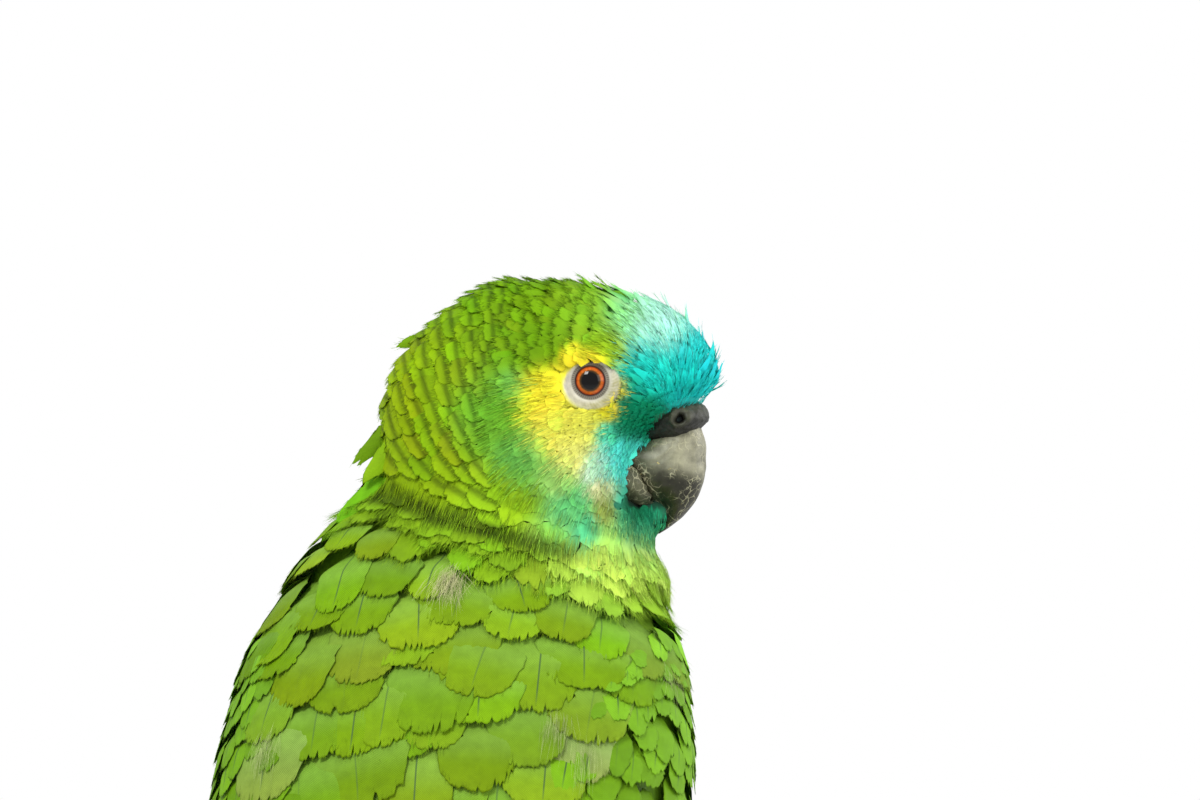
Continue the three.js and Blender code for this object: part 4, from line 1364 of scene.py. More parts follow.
def lay_leaves(coat, kind, leaves):
    """Loose feathers behind the neck and on the crown, their faces turned to the bird's right."""
    values = np.array([leaf[:6] for leaf in leaves], float)
    fall = np.radians(values[:, 3])[:, None]
    ahead = -np.cos(fall) * HEAD_FORWARD - np.sin(fall) * UP
    lengths, widths = values[:, 4] * MM, values[:, 5] * MM
    facing = unit(np.broadcast_to(HEAD_RIGHT + 0.25 * UP, ahead.shape))
    steps = np.linspace(0, 1, 6)[None, :, None]
    centre = from_head(values[:, :3])[:, None] + lengths[:, None, None] * (
        steps * ahead[:, None] - 0.10 * steps ** 2 * UP
    )
    aside = (widths[:, None] * across(facing, ahead))[:, None]
    bend = 0.25 * widths[:, None, None] * facing[:, None]
    places = np.stack([centre - aside - bend, centre, centre + aside - bend], 2)
    ups = np.broadcast_to(facing[:, None], centre.shape)
    lay_vanes(coat, places, ups, kind, np.array([leaf[6] for leaf in leaves]), lengths, widths)


def make_tufts():
    """Loose feathers of neck and crown, wisps of down on the back and spikes on the forehead."""
    coat = Coat()
    loose = dict(KINDS["collar"], rows=10, columns=12, depth=0.6, lift=0.3, point=0.5)
    loose.update(wisps=16, wisp_length=1.6)
    backward = -0.55 * HEAD_FORWARD - 0.8 * UP
    hindneck = from_head(np.array([[-40.0, -9.0, 2.0]]))
    lay_tuft(coat, loose, hindneck, backward, 4, 13, 3.6, 3.0, 2.2, NAPE_GREEN * 0.9)
    for *place, count, long, stray in DOWN_PLACES:
        colour = linear(188, 188, 138) if stray > 0.25 else linear(168, 186, 116)
        down_tuft(coat, np.array(place) * MM, BODY_DOWN, count, long, stray, 0.035, colour)
    lay_leaves(coat, dict(loose, by_place=False), LEAVES)
    spike = dict(KINDS["brow"], wisps=4, rows=8, columns=6, unruly=0.0)
    for forward, up, right, count, long, wide, rise, back_share in SPIKES:
        toward = -back_share * HEAD_FORWARD + (1 - back_share) * UP
        root = from_head(np.array([[forward, up, right]], float))
        lay_tuft(coat, spike, root, toward, count, long, wide, rise, 0.9, np.ones(3))
    coat.finish("coat_tufts", feather)


make_tufts()


# ---------- folded wings

SHEET_PROBE = 150  # mm outside the body, where the rays towards a wing or the tail start


def around(values):
    """Each cell's and its eight neighbours' sum, for a grid with one more cell on every side."""
    rows, columns = values.shape
    return sum(values[i:rows - 2 + i, j:columns - 2 + j] for i in range(3) for j in range(3))


def cast_sheet(zone, origin, down, aside, out, alongs, acrosses, before=None):
    """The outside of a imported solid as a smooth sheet: distances along and across give a place."""
    grid = np.stack(np.meshgrid(alongs, acrosses, indexing="ij"), -1).reshape(-1, 2)
    start = origin + (grid[:, :1] * down + grid[:, 1:] * aside + SHEET_PROBE * out) * MM
    towards = np.broadcast_to(-out, start.shape)
    reach = zone_trees[zone].cast(start, towards)
    hit = np.isfinite(reach)
    if before:
        hit &= reach < zone_trees[before].cast(start, towards) + 1 * MM
    heights = np.where(hit, SHEET_PROBE - reach / MM, 0.0).reshape(len(alongs), len(acrosses))
    weight = hit.reshape(heights.shape).astype(float)
    for _ in range(60):  # spreads the solid's own heights past its edges
        total, count = around(np.pad(heights * weight, 1)), around(np.pad(weight, 1))
        fresh = (weight == 0) & (count > 0)
        heights[fresh] = total[fresh] / count[fresh]
        weight[fresh] = 1.0
    for _ in range(3):
        heights = around(np.pad(heights, 1, mode="edge")) / 9

    def sheet(a, c):
        i = np.clip((a - alongs[0]) / (alongs[1] - alongs[0]), 0, len(alongs) - 1.001)
        j = np.clip((c - acrosses[0]) / (acrosses[1] - acrosses[0]), 0, len(acrosses) - 1.001)
        i0, j0 = i.astype(int), j.astype(int)
        near = mix(heights[i0, j0], heights[i0, j0 + 1], j - j0)
        far = mix(heights[i0 + 1, j0], heights[i0 + 1, j0 + 1], j - j0)
        rise = mix(near, far, i - i0)[..., None]
        return origin + (a[..., None] * down + c[..., None] * aside + rise * out) * MM

    return sheet


def lay_row(coat, sheet, out, kind, roots, turns, lengths, widths, colours, rise, sweep=0.0):
    """One row of long feathers on a sheet, each raised by its place in the stack; sizes in mm.

    Roots are given along and across the sheet, turns in degrees from along towards across, and
    sweep is how far a feather bends from root to tip, in radians.
    """
    steps, finer = 8, 8
    first = np.radians(turns)[:, None, None]
    sweep = np.broadcast_to(sweep, len(roots))[:, None, None]
    fine = np.linspace(0, 1, finer * (steps - 1) + 1)[None, :, None]
    turn = first + sweep * fine
    a_path = np.cumsum(np.cos(turn), axis=1) - np.cos(turn[:, :1])
    c_path = np.cumsum(np.sin(turn), axis=1) - np.sin(turn[:, :1])
    share = lengths[:, None, None] / (fine.shape[1] - 1)
    a = roots[:, :1, None] + share * a_path[:, ::finer]
    c = roots[:, 1:, None] + share * c_path[:, ::finer]
    turn = first + sweep * np.linspace(0, 1, steps)[None, :, None]
    offset = np.array([-1.0, 0.0, 1.0])[None, None] * widths[:, None, None]
    places = sheet(a - offset * np.sin(turn), c + offset * np.cos(turn))
    ahead = np.gradient(places[:, :, 1], axis=1)
    ups = across(ahead, places[:, :, 2] - places[:, :, 0])
    ups = ups * np.sign((ups * out).sum(-1, keepdims=True) + 1e-9)
    places = places + (ups * (rise[:, None, None] * MM))[:, :, None]
    lay_vanes(coat, places, ups, kind, colours, lengths * MM, widths * MM)


COVERT = dict(
    rows=11, columns=14, depth=1.6, lift=0.25, camber=0.3, thickness=0.16, point=0.26, fray=0.06,
    shuffle=0.15, roll=0.08, ripple=0.03, wisps=12, wisp_length=1.1, wisp_girth=0.05,
    step=0.45, tilt=0.15, dark_wisps=0.3, side=4.0, soften=0.4, tears=0.08,
)
GREAT_COVERT = dict(
    rows=18, columns=12, depth=1.5, lift=0.4, camber=0.6, thickness=0.25, point=0.34, fray=0.03,
    shuffle=0.2, roll=0.12, ripple=0.03, wisps=4, wisp_length=1.5, wisp_girth=0.06,
)
FLIGHT = dict(
    rows=34, columns=12, depth=1.2, lift=0.25, camber=0.7, thickness=0.4, point=0.42, fray=0.012,
    shuffle=0.1, roll=0.1, ripple=0.02, stem=0.6, taper=0.05,
)


def lay_coverts(coat, kind, flow, seeds, normals, ahead, long, wide, colours):
    """Broad small feathers that follow one flow over the bird's outside."""
    lay_vanes(coat, *walk(seeds, normals, ahead, long, wide, flow=flow), kind, colours, long, wide)


def wing_spacing(points):
    along, _ = wing_places(points)
    return (4.2 + 2.6 * ramp(8, 60, along)) * MM


wing_flow, tail_flow = straight_flow(WING_DOWN), straight_flow(TAIL_DOWN)


def wing_colours(along, acrossed):
    """Green coverts, with a little yellow at the bend."""
    colour = tinted(linear(116, 168, 36), linear(106, 152, 16), ramp(10, 60, along))
    bend = np.exp(-((along - 10) / 9) ** 2) * ramp(-6, -13, acrossed)
    return tinted(colour, WING_YELLOW, 0.6 * bend)


flight_feather = plumage_material("flight_feather", 0.35, 0.6, 0.5, 0.85, 0.14)


def secondary_tint(place):
    """Green secondaries with pale edges; the foremost have a red patch and a blue tip."""
    first = ramp(0.42, 0.28, place)[:, None, None, None]

    def tint(shade, uu, vv):
        red = (ramp(0.26, 0.36, vv) * ramp(0.66, 0.52, vv))[..., None]
        marked = tinted(mix(shade, WING_RED, red), NIGHT_BLUE, ramp(0.56, 0.80, vv))
        plain = tinted(shade, GREEN * 0.72, ramp(0.4, 0.95, vv))
        plain = tinted(plain, linear(150, 190, 56), 0.45 * ramp(0.72, 0.96, -uu))
        plain = plain * (1 - 0.35 * ramp(0.3, 1.0, uu)[..., None])
        return mix(plain, marked, first)

    return tint


def primary_tint(shade, uu, vv):
    """Green at the root, then blue with a paler front web, and black at the tip."""
    tip = ramp(0.30, 0.72, vv)[..., None]
    shade = mix(shade, NIGHT_BLUE, 0.85 * tip)
    front_web = ramp(-0.1, 0.35, -uu)[..., None]
    shade = mix(shade, linear(30, 96, 110), 0.35 * front_web * (1 - 0.5 * tip))
    return tinted(shade, linear(18, 20, 26), 0.7 * ramp(0.8, 1.0, vv))


def make_wing(side):
    """A folded wing's coat: small coverts, greater coverts, secondaries and primaries."""
    out = np.array([SIDES[side], 0.0, 0.0])
    alongs, acrosses = np.arange(-4.0, 212.0, 4.0), np.arange(-34.0, 44.0, 3.0)
    sheet = cast_sheet(
        f"wing_{side}", WING_BEND, WING_DOWN, WING_BACK, out, alongs, acrosses, before="trunk"
    )
    coat = Coat()
    seeds, normals = settle(
        wing_spacing, 9000,
        lambda places, faces: in_zone(faces, f"wing_{side}") & (wing_places(places)[0] < 66), relax=4,
    )
    gap = wing_spacing(seeds)
    long = gap * 2.4 * varied(len(seeds), 0.1)
    flow = wing_flow(seeds, normals)
    flow = along_surface(flow + 0.09 * rng.normal(size=flow.shape), normals)
    colours = wing_colours(*wing_places(seeds)) * np.exp(0.08 * rng.normal(size=(len(seeds), 1)))
    lay_coverts(coat, COVERT, wing_flow, seeds, normals, flow, long, gap * 0.76, colours)

    # Greater coverts: their tips make one long line across the wing.
    count = 16
    place = np.linspace(0, 1, count)
    roots = np.stack([mix(66.0, 56.0, place), mix(-19.0, 23.0, place)], 1)
    shade = tinted(BLUE_GREEN, linear(104, 150, 20), ramp(0.0, 0.3, place))
    shade = shade * tones(count, 0.05)
    lengths = mix(32.0, 42.0, place) * varied(count, 0.04)
    lay_row(coat, sheet, out, GREAT_COVERT, roots, mix(3.0, -2.0, place), lengths, np.full(count, 5.4),
            shade, np.full(count, 0.7))

    # Secondaries and, behind them, the long tertials.
    count = 15
    place = np.linspace(0, 1, count)
    roots = np.stack([mix(84.0, 68.0, place), mix(-16.0, 23.0, place)], 1)
    lengths = mix(50.0, 100.0, place ** 1.2) * varied(count, 0.02)
    shade = linear(92, 142, 22) * tones(count, 0.06)
    kind = dict(FLIGHT, tint=secondary_tint(place))
    lay_row(coat, sheet, out, kind, roots, mix(3.0, 9.0, place), lengths, mix(5.6, 8.4, place), shade,
            mix(-0.1, 0.9, place), sweep=mix(0.0, -0.44, place))

    # Primaries: tips that step towards the wing's point, the longest ones lowest.
    count, bend = 9, 0.22
    place = np.linspace(0, 1, count)
    roots = np.stack([mix(84.0, 94.0, place), mix(-14.0, 13.0, place)], 1)
    ends = np.stack([mix(203.0, 148.0, place ** 1.3), mix(2.5, 15.5, place)], 1)
    down, back = (ends - roots).T
    turns = np.degrees(np.arctan2(back, down) - bend / 2)
    shade = linear(44, 112, 56) * tones(count, 0.05)
    kind = dict(FLIGHT, tint=primary_tint)
    lay_row(coat, sheet, out, kind, roots, turns, np.hypot(down, back), np.full(count, 6.6), shade,
            mix(-0.6, 0.1, place), sweep=bend)
    coat.finish(f"coat_wing_{side}", flight_feather)


for side in SIDES:
    make_wing(side)


# ---------- tail

TAIL_ROOT = np.array([0.0, 26.0, 160.0]) * MM
RECTRICES = 12  # tail feathers


def tail_covert_seed(places, faces):
    """Where the upper tail's coverts may root."""
    near_root = ((places - TAIL_ROOT) @ TAIL_DOWN < 76 * MM) & (np.abs(places[:, 0]) < 13 * MM)
    return in_zone(faces, "tail") & near_root & (outer.normals_at(places, faces) @ TAIL_BACK >= 0)


def make_tail():
    """Twelve tail feathers that close like a fan, the middle pair on top, seen from both sides."""
    coat = Coat()
    half = (RECTRICES - 1) / 2
    fan = np.arange(RECTRICES) - half
    off_middle = np.abs(fan) / half
    aside = np.array([1.0, 0.0, 0.0])
    alongs, acrosses = np.arange(0.0, 140.0, 4.0), np.arange(-30.0, 31.0, 2.0)
    root = 22.0
    lengths = mix(131.0, 119.0, off_middle ** 1.5) - root
    widths = mix(8.6, 7.4, off_middle)
    roots = np.stack([np.full(RECTRICES, root), 1.25 * fan], 1)

    def top_tint(shade, uu, vv):
        return tinted(shade, TAIL_TIP, 0.8 * ramp(0.62, 0.95, vv))

    def under_tint(shade, uu, vv):
        red = ramp(0.62, 0.40, vv)[..., None] * (off_middle > 0.3)[:, None, None, None]
        shade = mix(shade, WING_RED * 0.8, 0.7 * red)
        return tinted(shade, linear(170, 186, 60), 0.8 * ramp(0.55, 0.85, vv))

    base = dict(FLIGHT, thickness=0.35, point=0.2, lift=0.15, depth=0.4, camber=0.6, stem=0.7, fray=0.006)
    for out, tint, tone, rise in (
        (TAIL_BACK, top_tint, TAIL_GREEN, 0.5 - 1.1 * off_middle),
        (-TAIL_BACK, under_tint, linear(120, 146, 50), -0.6 + 0.8 * off_middle),
    ):
        sheet = cast_sheet("tail", TAIL_ROOT, TAIL_DOWN, aside, out, alongs, acrosses)
        shade = tone * tones(RECTRICES, 0.05)
        kind = dict(base, tint=tint)
        lay_row(coat, sheet, out, kind, roots, 5.2 * fan / half, lengths, widths, shade, rise)

    seeds, normals = settle(lambda p: np.full(len(p), 6.0 * MM), 9000, tail_covert_seed)
    long = 19 * MM * varied(len(seeds), 0.1)
    wide = np.full(len(seeds), 5.4 * MM)
    shade = linear(100, 152, 18) * tones(len(seeds), 0.06)
    flow = tail_flow(seeds, normals)
    lay_coverts(coat, KINDS["breast"], tail_flow, seeds, normals, flow, long, wide, shade)
    coat.finish("coat_tail", flight_feather)


make_tail()


# ---------- scales of shanks and toes

SCUTE = dict(
    rows=4, columns=4, depth=-0.06, lift=0.46, camber=0.16, thickness=0.3, point=0.2, fray=0.02,
    shuffle=0.08, roll=0.04, ripple=0.0, stem=0.8, soften=0.0,
)


def scute_tint(shade, uu, vv):
    return shade * (0.45 + 0.65 * ramp(0.35, 0.8, vv) * ramp(1.0, 0.6, np.abs(uu)))[..., None]


def make_scutes():
    """Small overlapping plates that run down each shank and out along the toes."""
    coat = Coat()
    seeds, normals = settle(
        lambda p: np.full(len(p), 1.75 * MM), 16000, lambda p, f: in_zone(f, "foot"), relax=3
    )
    ankles, tops = (np.stack([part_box(f"shank_{side}")[k] for side in SIDES]) for k in (0, 1))
    middle = (ankles + tops) / 2
    middle[:, 2] = tops[:, 2]

    def toe_flow(points, facing):
        return along_surface(points - middle[(points[:, 0] > 0).astype(int)], facing)

    long = np.full(len(seeds), 2.5 * MM)
    wide = np.full(len(seeds), 1.0 * MM)
    shade = linear(122, 118, 108) * tones(len(seeds), 0.12)
    lay_coverts(coat, SCUTE, toe_flow, seeds, normals, toe_flow(seeds, normals), long, wide, shade)
    coat.finish("coat_scutes", surface_material("scutes", 0.7, 1.2, 900.0, 0.5, 0.5, 0.0002))


SCUTE["tint"] = scute_tint
make_scutes()


# ---------- eyes

IRIS_REACH = 5.0  # mm, where the iris's ramp of colours ends
IRIS = (  # distance from the sight line in mm, and the colour there
    (0.0, linear(3, 2, 2)), (1.95, linear(3, 2, 2)), (2.1, linear(30, 22, 8)), (2.5, linear(84, 54, 16)),
    (2.72, linear(184, 94, 22)), (3.1, linear(198, 92, 22)), (3.42, linear(146, 56, 16)),
    (3.6, linear(40, 16, 8)), (IRIS_REACH, linear(14, 8, 6)),
)


def eye_material():
    """A wet ball: black pupil, olive inner iris, streaked orange iris and a dark rim."""
    look = Look("eye", 0.2, 0.0)
    reach, _, _ = look.parts(look.attribute("Vane"))
    radius = look.maths("MULTIPLY", reach, 10.0)
    streak = look.noise(9.0, 4.0, vector=look.attribute("Vane", "Vector"))
    radius = look.maths("MULTIPLY_ADD", look.noise(1500.0, 3.0), 0.16, radius)
    scaled = look.maths("MULTIPLY", look.maths("ADD", radius, -0.08), 1 / IRIS_REACH)
    iris = look.add("ValToRGB", "Color", {"Fac": scaled})
    elements = iris.node.color_ramp.elements
    while len(elements) < len(IRIS):
        elements.new(0.5)
    for element, (place, colour) in zip(elements, IRIS):
        element.position = place / IRIS_REACH
        element.color = (*colour, 1.0)
    look.put("Base Color", look.lit(iris, look.spread(streak, 0.3, 0.7, 0.7, 1.25)))
    look.put("Coat Weight", 0.55)
    look.put("Coat Roughness", 0.02)
    return look.material


iris_material = eye_material()


def make_eye(side):
    """A closed ball with its pole on the sight line and a shallow cornea."""
    out = HEAD_RIGHT if side == "right" else -HEAD_RIGHT
    segments = 64
    polar = np.concatenate([np.linspace(0, 0.7, 45), np.linspace(0.76, math.pi, 20)])[1:-1]
    turns = np.linspace(0, 2 * math.pi, segments, endpoint=False)
    radius = EYE_RADIUS * (1 + 0.03 * ramp(0.66, 0.25, polar))[:, None]
    x = radius * np.sin(polar)[:, None] * np.cos(turns)
    y = radius * np.sin(polar)[:, None] * np.sin(turns)
    z = radius * np.cos(polar)[:, None] * np.ones_like(turns)
    ball = EYES[side] + x[..., None] * HEAD_FORWARD + y[..., None] * UP + z[..., None] * out
    poles = [EYES[side] + out * EYE_RADIUS * 1.03, EYES[side] - out * EYE_RADIUS]
    points = np.concatenate([ball.reshape(-1, 3), poles])
    top, bottom, last = len(points) - 2, len(points) - 1, len(points) - 2 - segments
    faces = np.roll(ring_quads(len(polar), segments, False), 1, axis=1).tolist()
    faces += [(top, k, (k + 1) % segments) for k in range(segments)]
    faces += [(bottom, last + (k + 1) % segments, last + k) for k in range(segments)]
    if side == "left":
        faces = [face[::-1] for face in faces]
    mesh = mesh_from(f"eyeball_{side}", points, faces)
    reach = (EYE_RADIUS / MM * np.sin(polar))[:, None] * np.ones(segments)
    reach = np.where(polar[:, None] > 1.2, 6.0, reach)
    reach = np.concatenate([reach.ravel(), [0.0, 6.0]])
    turn = np.concatenate([np.tile(turns, len(polar)), [0.0, 0.0]])
    paint(mesh, np.stack([reach / 10, 0.5 + 0.5 * np.cos(turn), 0.5 + 0.5 * np.sin(turn)], 1), "Vane")
    made = mesh_object(f"eyeball_{side}", mesh)
    mesh.materials.append(iris_material)
    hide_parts(f"eye_{side}")


for side in SIDES:
    make_eye(side)


# ---------- bill, cere and claws

def horn_piece(name, nodes, voxel, smoothing, shape, material, rounds=2, colours=None):
    """A smooth close-meshed stand-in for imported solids; shape(points, normals) gives its places."""
    mesh = refined(solid_copy(nodes), voxel, smoothing, rounds=rounds)
    points, normals = vertex_values(mesh, "co"), vertex_values(mesh, "normal")
    if colours:
        paint(mesh, colours(points))
    set_vertices(mesh, shape(points, normals))
    made = mesh_object(name, mesh)
    mesh.name = name
    mesh.polygons.foreach_set("use_smooth", np.ones(len(mesh.polygons), bool))
    mesh.materials.append(material)
    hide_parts(*nodes)


def grown(places, normals):
    """Points at these head places, raised along fine lines where the horn grew."""
    from_root = np.linalg.norm(places[:, :2] - np.array([22.0, -8.0]), axis=1)
    wander = 0.8 * np.sin(places[:, 2] * 0.7 + places[:, 1] * 0.5)
    lines = 0.035 * np.sin(from_root * 3.1 + wander)
    return from_head(places) + normals * (lines * MM)[:, None]


def upper_bill_shape(points, normals):
    """Its root stands up under the cere, highest in front."""
    places = head_places(points)
    forward, up, right = places.T
    rise = ramp(-16, -9.6, up) * ramp(19, 34, forward)
    up += 6.0 * rise
    forward += 1.0 * rise
    right *= 1 + 0.08 * rise
    forward += 0.65 * ramp(-7, -12, up) * ramp(-32, -23, up) * ramp(25, 33, forward)
    return grown(places, normals)


def lower_bill_shape(points, normals):
    """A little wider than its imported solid, so that its side lies level with the cheek."""
    places = head_places(points)
    places[:, 2] *= 1 + 0.12 * ramp(-12, -16, places[:, 1])
    return grown(places, normals)


NOSTRIL = (30.4, -4.7)


def nostril_distance(places):
    return np.hypot(places[:, 0] - NOSTRIL[0], places[:, 1] - NOSTRIL[1])


def cere_shape(points, normals):
    """Lumpy skin with a raised rim round each nostril, drawn out behind towards the gape."""
    places = head_places(points)
    forward, up, right = places.T
    round_it = nostril_distance(places)
    hole = -2.2 * ramp(1.35, 0.6, round_it) + 0.55 * ramp(2.7, 1.9, round_it) * ramp(1.0, 1.6, round_it)
    lumps = 0.16 * np.sin(forward * 2.3) * np.sin(up * 2.7 + 1) * np.sin(right * 1.9)
    lumps += 0.05 * np.sin(forward * 7.1 + up * 5.3) * np.sin(right * 6.3 - up * 6.0)
    crest = ramp(-7, -2, up) * ramp(24, 29, forward)
    rear = ramp(27, 21, forward) * ramp(-1, -8, up)
    moved = places + 0.0
    moved[:, 2] += np.sign(right) * (np.abs(right) > 4) * hole
    moved[:, 1] += 1.2 * (ramp(28, 34, forward) * ramp(-4, -9, up))
    moved[:, 1] -= 2.2 * rear
    moved[:, 0] -= 3.0 * rear
    moved[:, 0] += 0.9 * ramp(30, 34, forward) * ramp(-9, -4, up)
    return from_head(moved) + normals * ((lumps + 1.1 * crest) * MM)[:, None]


def bill_colours(points):
    """Grey horn: paler high on the side, dark along its front, its edges and its tip."""
    forward, up, right = head_places(points).T
    pale, mid, dark = linear(142, 140, 116), linear(82, 82, 60), linear(30, 29, 16)
    slant = up + 0.25 * (forward - 28)
    colour = tinted(mid, pale, ramp(-22, -15, slant) * ramp(20, 25, forward))
    low = ramp(-15.5, -20.5, slant) * ramp(20, 26, forward)
    colour = tinted(colour, dark, 0.94 * low)
    rim = ramp(3.2, 1.4, np.abs(right)) * ramp(-8, -12, up) * ramp(-27, -21, up)
    return tinted(colour, pale, 0.4 * rim)


def cere_colours(points):
    places = head_places(points)
    away = nostril_distance(places)
    colour = tinted(linear(24, 24, 18), linear(60, 62, 46), ramp(-6, -1, places[:, 1]))
    rim = ramp(2.8, 2.0, away) * ramp(1.0, 1.6, away)
    colour = tinted(colour, linear(70, 72, 52), 0.4 * rim)
    # painted shade: the nostril's opening near black
    return tinted(colour, linear(4, 4, 3), ramp(1.5, 0.9, away))


def claw_shape(points, normals):
    """Each claw's root drawn into the end of its toe."""
    places, facing = zone_trees["foot"].nearest(points)
    gaps = np.linalg.norm(points - places, axis=1) / MM
    return mix(points, places - facing * 2.2 * MM, ramp(1.5, 0.7, gaps)[:, None])


def cracks(look, scale, width):
    """1 on thin wandering lines between cells, 0 elsewhere."""
    place = look.place()
    warp = look.add("TexNoise", "Color", {"Scale": scale * 1.3, "Vector": place})
    inputs = {0: warp, 1: (0.012, 0.012, 0.012), 2: place}
    moved = look.add("VectorMath", 0, inputs, operation="MULTIPLY_ADD")
    inputs = {"Scale": scale, "Vector": moved}
    cells = look.add("TexVoronoi", "Distance", inputs, feature="DISTANCE_TO_EDGE")
    return look.spread(cells, width, width * 0.35)


def horn_material():
    """Worn grey horn: clouded, with pale scratches that cross in places and ochre flakes."""
    look = Look("bill", 0.4, 0.35)
    cloud = look.spread(look.noise(190.0, 7.0, 0.65), 0.32, 0.68, 0.42, 1.35)
    colour = look.lit(look.attribute("Coat"), cloud)
    some = look.spread(look.noise(160.0, 3.0, 0.6), 0.42, 0.56)
    broad = look.maths("MULTIPLY", cracks(look, 190.0, 0.04), some)
    fine = look.maths("MULTIPLY", cracks(look, 420.0, 0.03), 0.35)
    scratch = look.maths("MAXIMUM", broad, look.maths("MULTIPLY", fine, some))
    colour = look.blend("MIX", look.maths("MULTIPLY", scratch, 0.62), colour, linear(196, 192, 156))
    flakes = look.spread(look.noise(700.0, 3.0, 0.6), 0.66, 0.70)
    near = look.spread(look.noise(90.0, 1.0, 0.5), 0.52, 0.60)
    colour = look.blend("MIX", look.maths("MULTIPLY", flakes, near), colour, linear(190, 172, 92))
    look.put("Base Color", colour)
    look.put("Roughness", look.spread(cloud, 0.62, 1.25, 0.5, 0.34))
    look.bump(look.maths("MULTIPLY_ADD", scratch, 0.6, cloud), 0.35, 0.0002)
    return look.material


bill_material = horn_material()
cere_material = surface_material("cere", 0.6, 1.7, 700.0, 0.5, 0.8, 0.0003)
claw_material = surface_material("claw", linear(30, 28, 26), linear(60, 56, 50), 400.0, 0.35, 0.3, 0.0002)
FINE = 0.3 * MM
for half, bill_shape in (("upper", upper_bill_shape), ("lower", lower_bill_shape)):
    horn_piece(f"bill_horn_{half}", [f"bill_{half}"], FINE, 6, bill_shape, bill_material,
               colours=bill_colours)
horn_piece("cere_skin", ["cere"], FINE, 3, cere_shape, cere_material, colours=cere_colours)
CLAWS = [f"claw_{side}_{toe}" for side in SIDES for toe in TOES]
horn_piece("claws", CLAWS, FINE, 3, claw_shape, claw_material)


# ---------- perch and stand

def branch_axis_places(points):
    """Along the branch, out from its middle line and round it, in mm and radians."""
    low, high = (np.array(corner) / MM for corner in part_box("perch"))
    middle = (low + high) / 2
    away = points / MM - middle
    return away[:, 0], np.hypot(away[:, 1], away[:, 2]), np.arctan2(away[:, 1], away[:, 2])


BRANCH_HALF = float((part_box("perch")[1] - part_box("perch")[0])[0]) / 2 / MM


def bark_height(points):
    """Long shallow furrows with cross cracks, in mm; none on the sawn ends."""
    along, _, turn = branch_axis_places(points)
    heights = np.empty(len(points))
    for i, (a, t) in enumerate(zip(along.tolist(), turn.tolist())):
        at = Vector((a * 0.06, math.cos(t) * 2.6, math.sin(t) * 2.6))
        ridges = 1 - abs(noise_field.noise(at * 1.6)) * 2.4
        heights[i] = 0.55 * ridges + 0.3 * noise_field.noise(Vector((a * 0.35, at.y * 2, at.z * 2)))
    bare = ramp(BRANCH_HALF - 0.9, BRANCH_HALF - 1.9, np.abs(along))
    return heights * bare * 0.7


def branch_shape(points, normals):
    return points + normals * (bark_height(points) * MM)[:, None]


def branch_colours(points):
    along, radius, _ = branch_axis_places(points)
    height = bark_height(points)
    bark = tinted(linear(58, 42, 30), linear(146, 122, 94), ramp(-0.25, 0.5, height))
    wood = tinted(linear(196, 164, 118), linear(160, 124, 82), 0.5 + 0.5 * np.sin(radius * 4.2))
    wood = tinted(wood, linear(70, 50, 34), ramp(9.0, 10.0, radius))
    end = ramp(BRANCH_HALF - 1.2, BRANCH_HALF - 0.6, np.abs(along))
    return tinted(bark, wood, end)


bark_material = surface_material("bark", 0.75, 1.25, 420.0, 0.85, 0.6, 0.0005)
dark_wood, light_wood = linear(50, 30, 18), linear(84, 54, 34)
wood_material = surface_material("base_wood", dark_wood, light_wood, 60.0, 0.4, 0.2, 0.0003)
dull_steel, bright_steel = linear(150, 150, 152), linear(172, 172, 174)
steel_material = surface_material("rod_steel", dull_steel, bright_steel, 40.0, 0.3, 0.05, 0.0001)
steel_material.node_tree.nodes["Principled BSDF"].inputs["Metallic"].default_value = 1.0
horn_piece("branch", ["perch"], 0.75 * MM, 1, branch_shape, bark_material, rounds=1,
           colours=branch_colours)
for node in ("stand_base", "stand_rod_right", "stand_rod_left"):
    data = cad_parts[node].data
    data.materials.clear()
    data.materials.append(wood_material if node == "stand_base" else steel_material)


# ---------- stage, light and camera

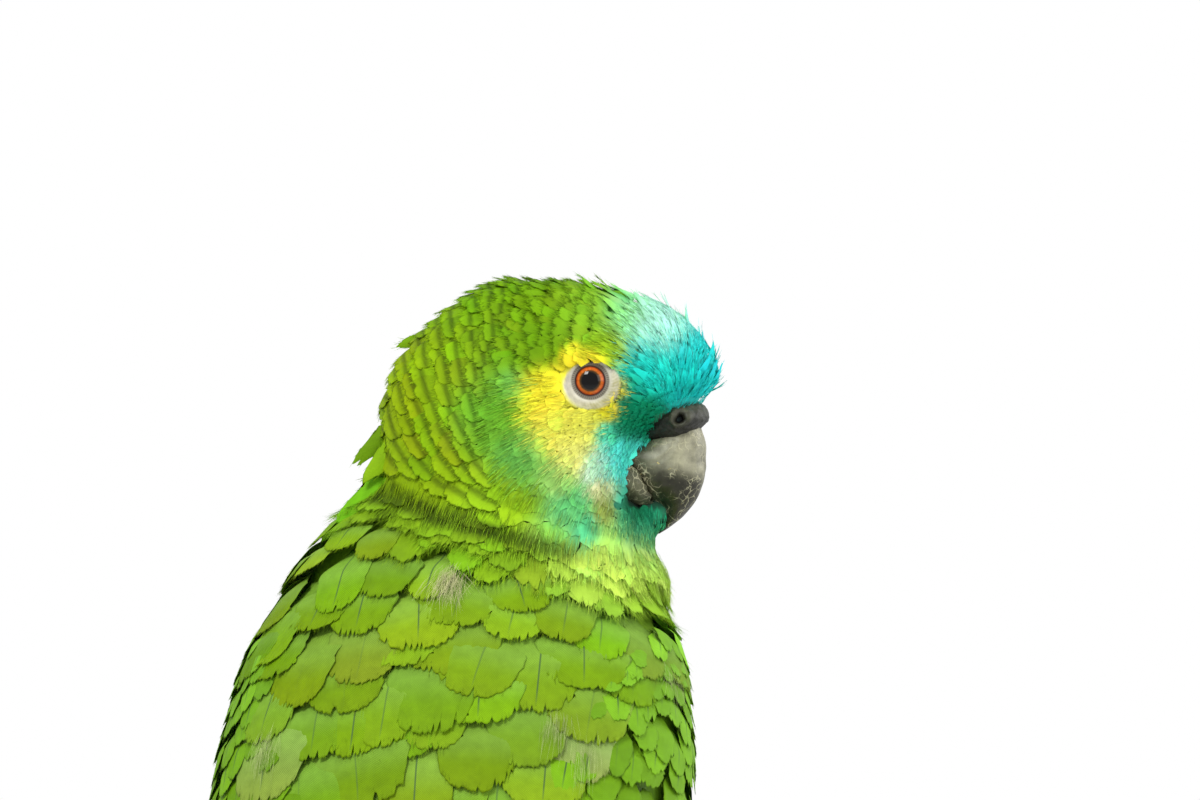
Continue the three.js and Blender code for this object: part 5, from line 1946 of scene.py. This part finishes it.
def make_floor():
    """A pale round floor that keeps the shadow and fades out before its edge."""
    bpy.ops.mesh.primitive_circle_add(vertices=96, radius=2.6, fill_type="NGON")
    floor = bpy.context.object
    floor.name = "floor"
    look = Look("floor", 0.9, 0.2)
    look.put("Base Color", (0.78, 0.78, 0.77))
    away = look.add("VectorMath", "Value", {0: look.place()}, operation="LENGTH")
    shaders = {0: look.spread(away, 0.5, 1.3), 1: look.shader.outputs[0], 2: look.add("BsdfTransparent")}
    look.feed(look.nodes["Material Output"].inputs["Surface"], look.add("MixShader", 0, shaders))
    floor.data.materials.append(look.material)


AMBIENT = 0.66  # how bright the white surroundings are as a light


def make_world():
    """White where the camera sees it, and dimmer as a light."""
    world = bpy.data.worlds.new("studio")
    bpy.context.scene.world = world
    world.use_nodes = True
    wires = Wiring(world.node_tree)
    path = wires.add("LightPath").node.outputs
    seen = wires.maths("MAXIMUM", path["Is Camera Ray"], path["Is Transmission Ray"])
    background = wires.nodes["Background"]
    wires.feed(background.inputs["Strength"], wires.spread(seen, 0.0, 1.0, AMBIENT, 1.0))
    wires.feed(background.inputs["Color"], (1, 1, 1))


def add_to_scene(name, data, place, towards):
    """An object at a place, its back turned away from where it looks."""
    made = bpy.data.objects.new(name, data)
    made.location = place
    made.rotation_euler = towards.to_track_quat("-Z", "Y").to_euler()
    bpy.context.scene.collection.objects.link(made)
    return made


make_floor()
make_world()
LAMPS = (  # name, place, power in watts and size, in metres
    ("key", (0.35, 1.1, 1.35), 17.0, 0.5),
    ("fill", (-1.3, 0.6, 0.7), 6.0, 0.9),
    ("front", (-1.3, -0.9, 0.7), 13.0, 0.9),
)
for lamp_name, lamp_place, power, size in LAMPS:
    lamp = bpy.data.lights.new(lamp_name, "AREA")
    lamp.energy, lamp.size = power, size
    add_to_scene(lamp_name, lamp, lamp_place, Vector(HEAD - 0.03 * UP) - Vector(lamp_place))

SENSOR, LENS, CAMERA_DISTANCE = 36.0, 300.0, 2.5
VIEW_TURN = math.radians(194)
AIM = HEAD + np.array([-9.7, -2.4, 0.0]) * MM  # what the picture's middle shows
camera_data = bpy.data.cameras.new("camera")
camera_data.sensor_width, camera_data.lens = SENSOR, LENS
camera_data.clip_start, camera_data.clip_end = 0.05, 50
back = Vector((math.sin(VIEW_TURN), -math.cos(VIEW_TURN), 0))
camera = add_to_scene("camera", camera_data, Vector(AIM) + back * CAMERA_DISTANCE, -back)
bpy.context.scene.camera = camera
bpy.context.scene.view_settings.view_transform = "Standard"
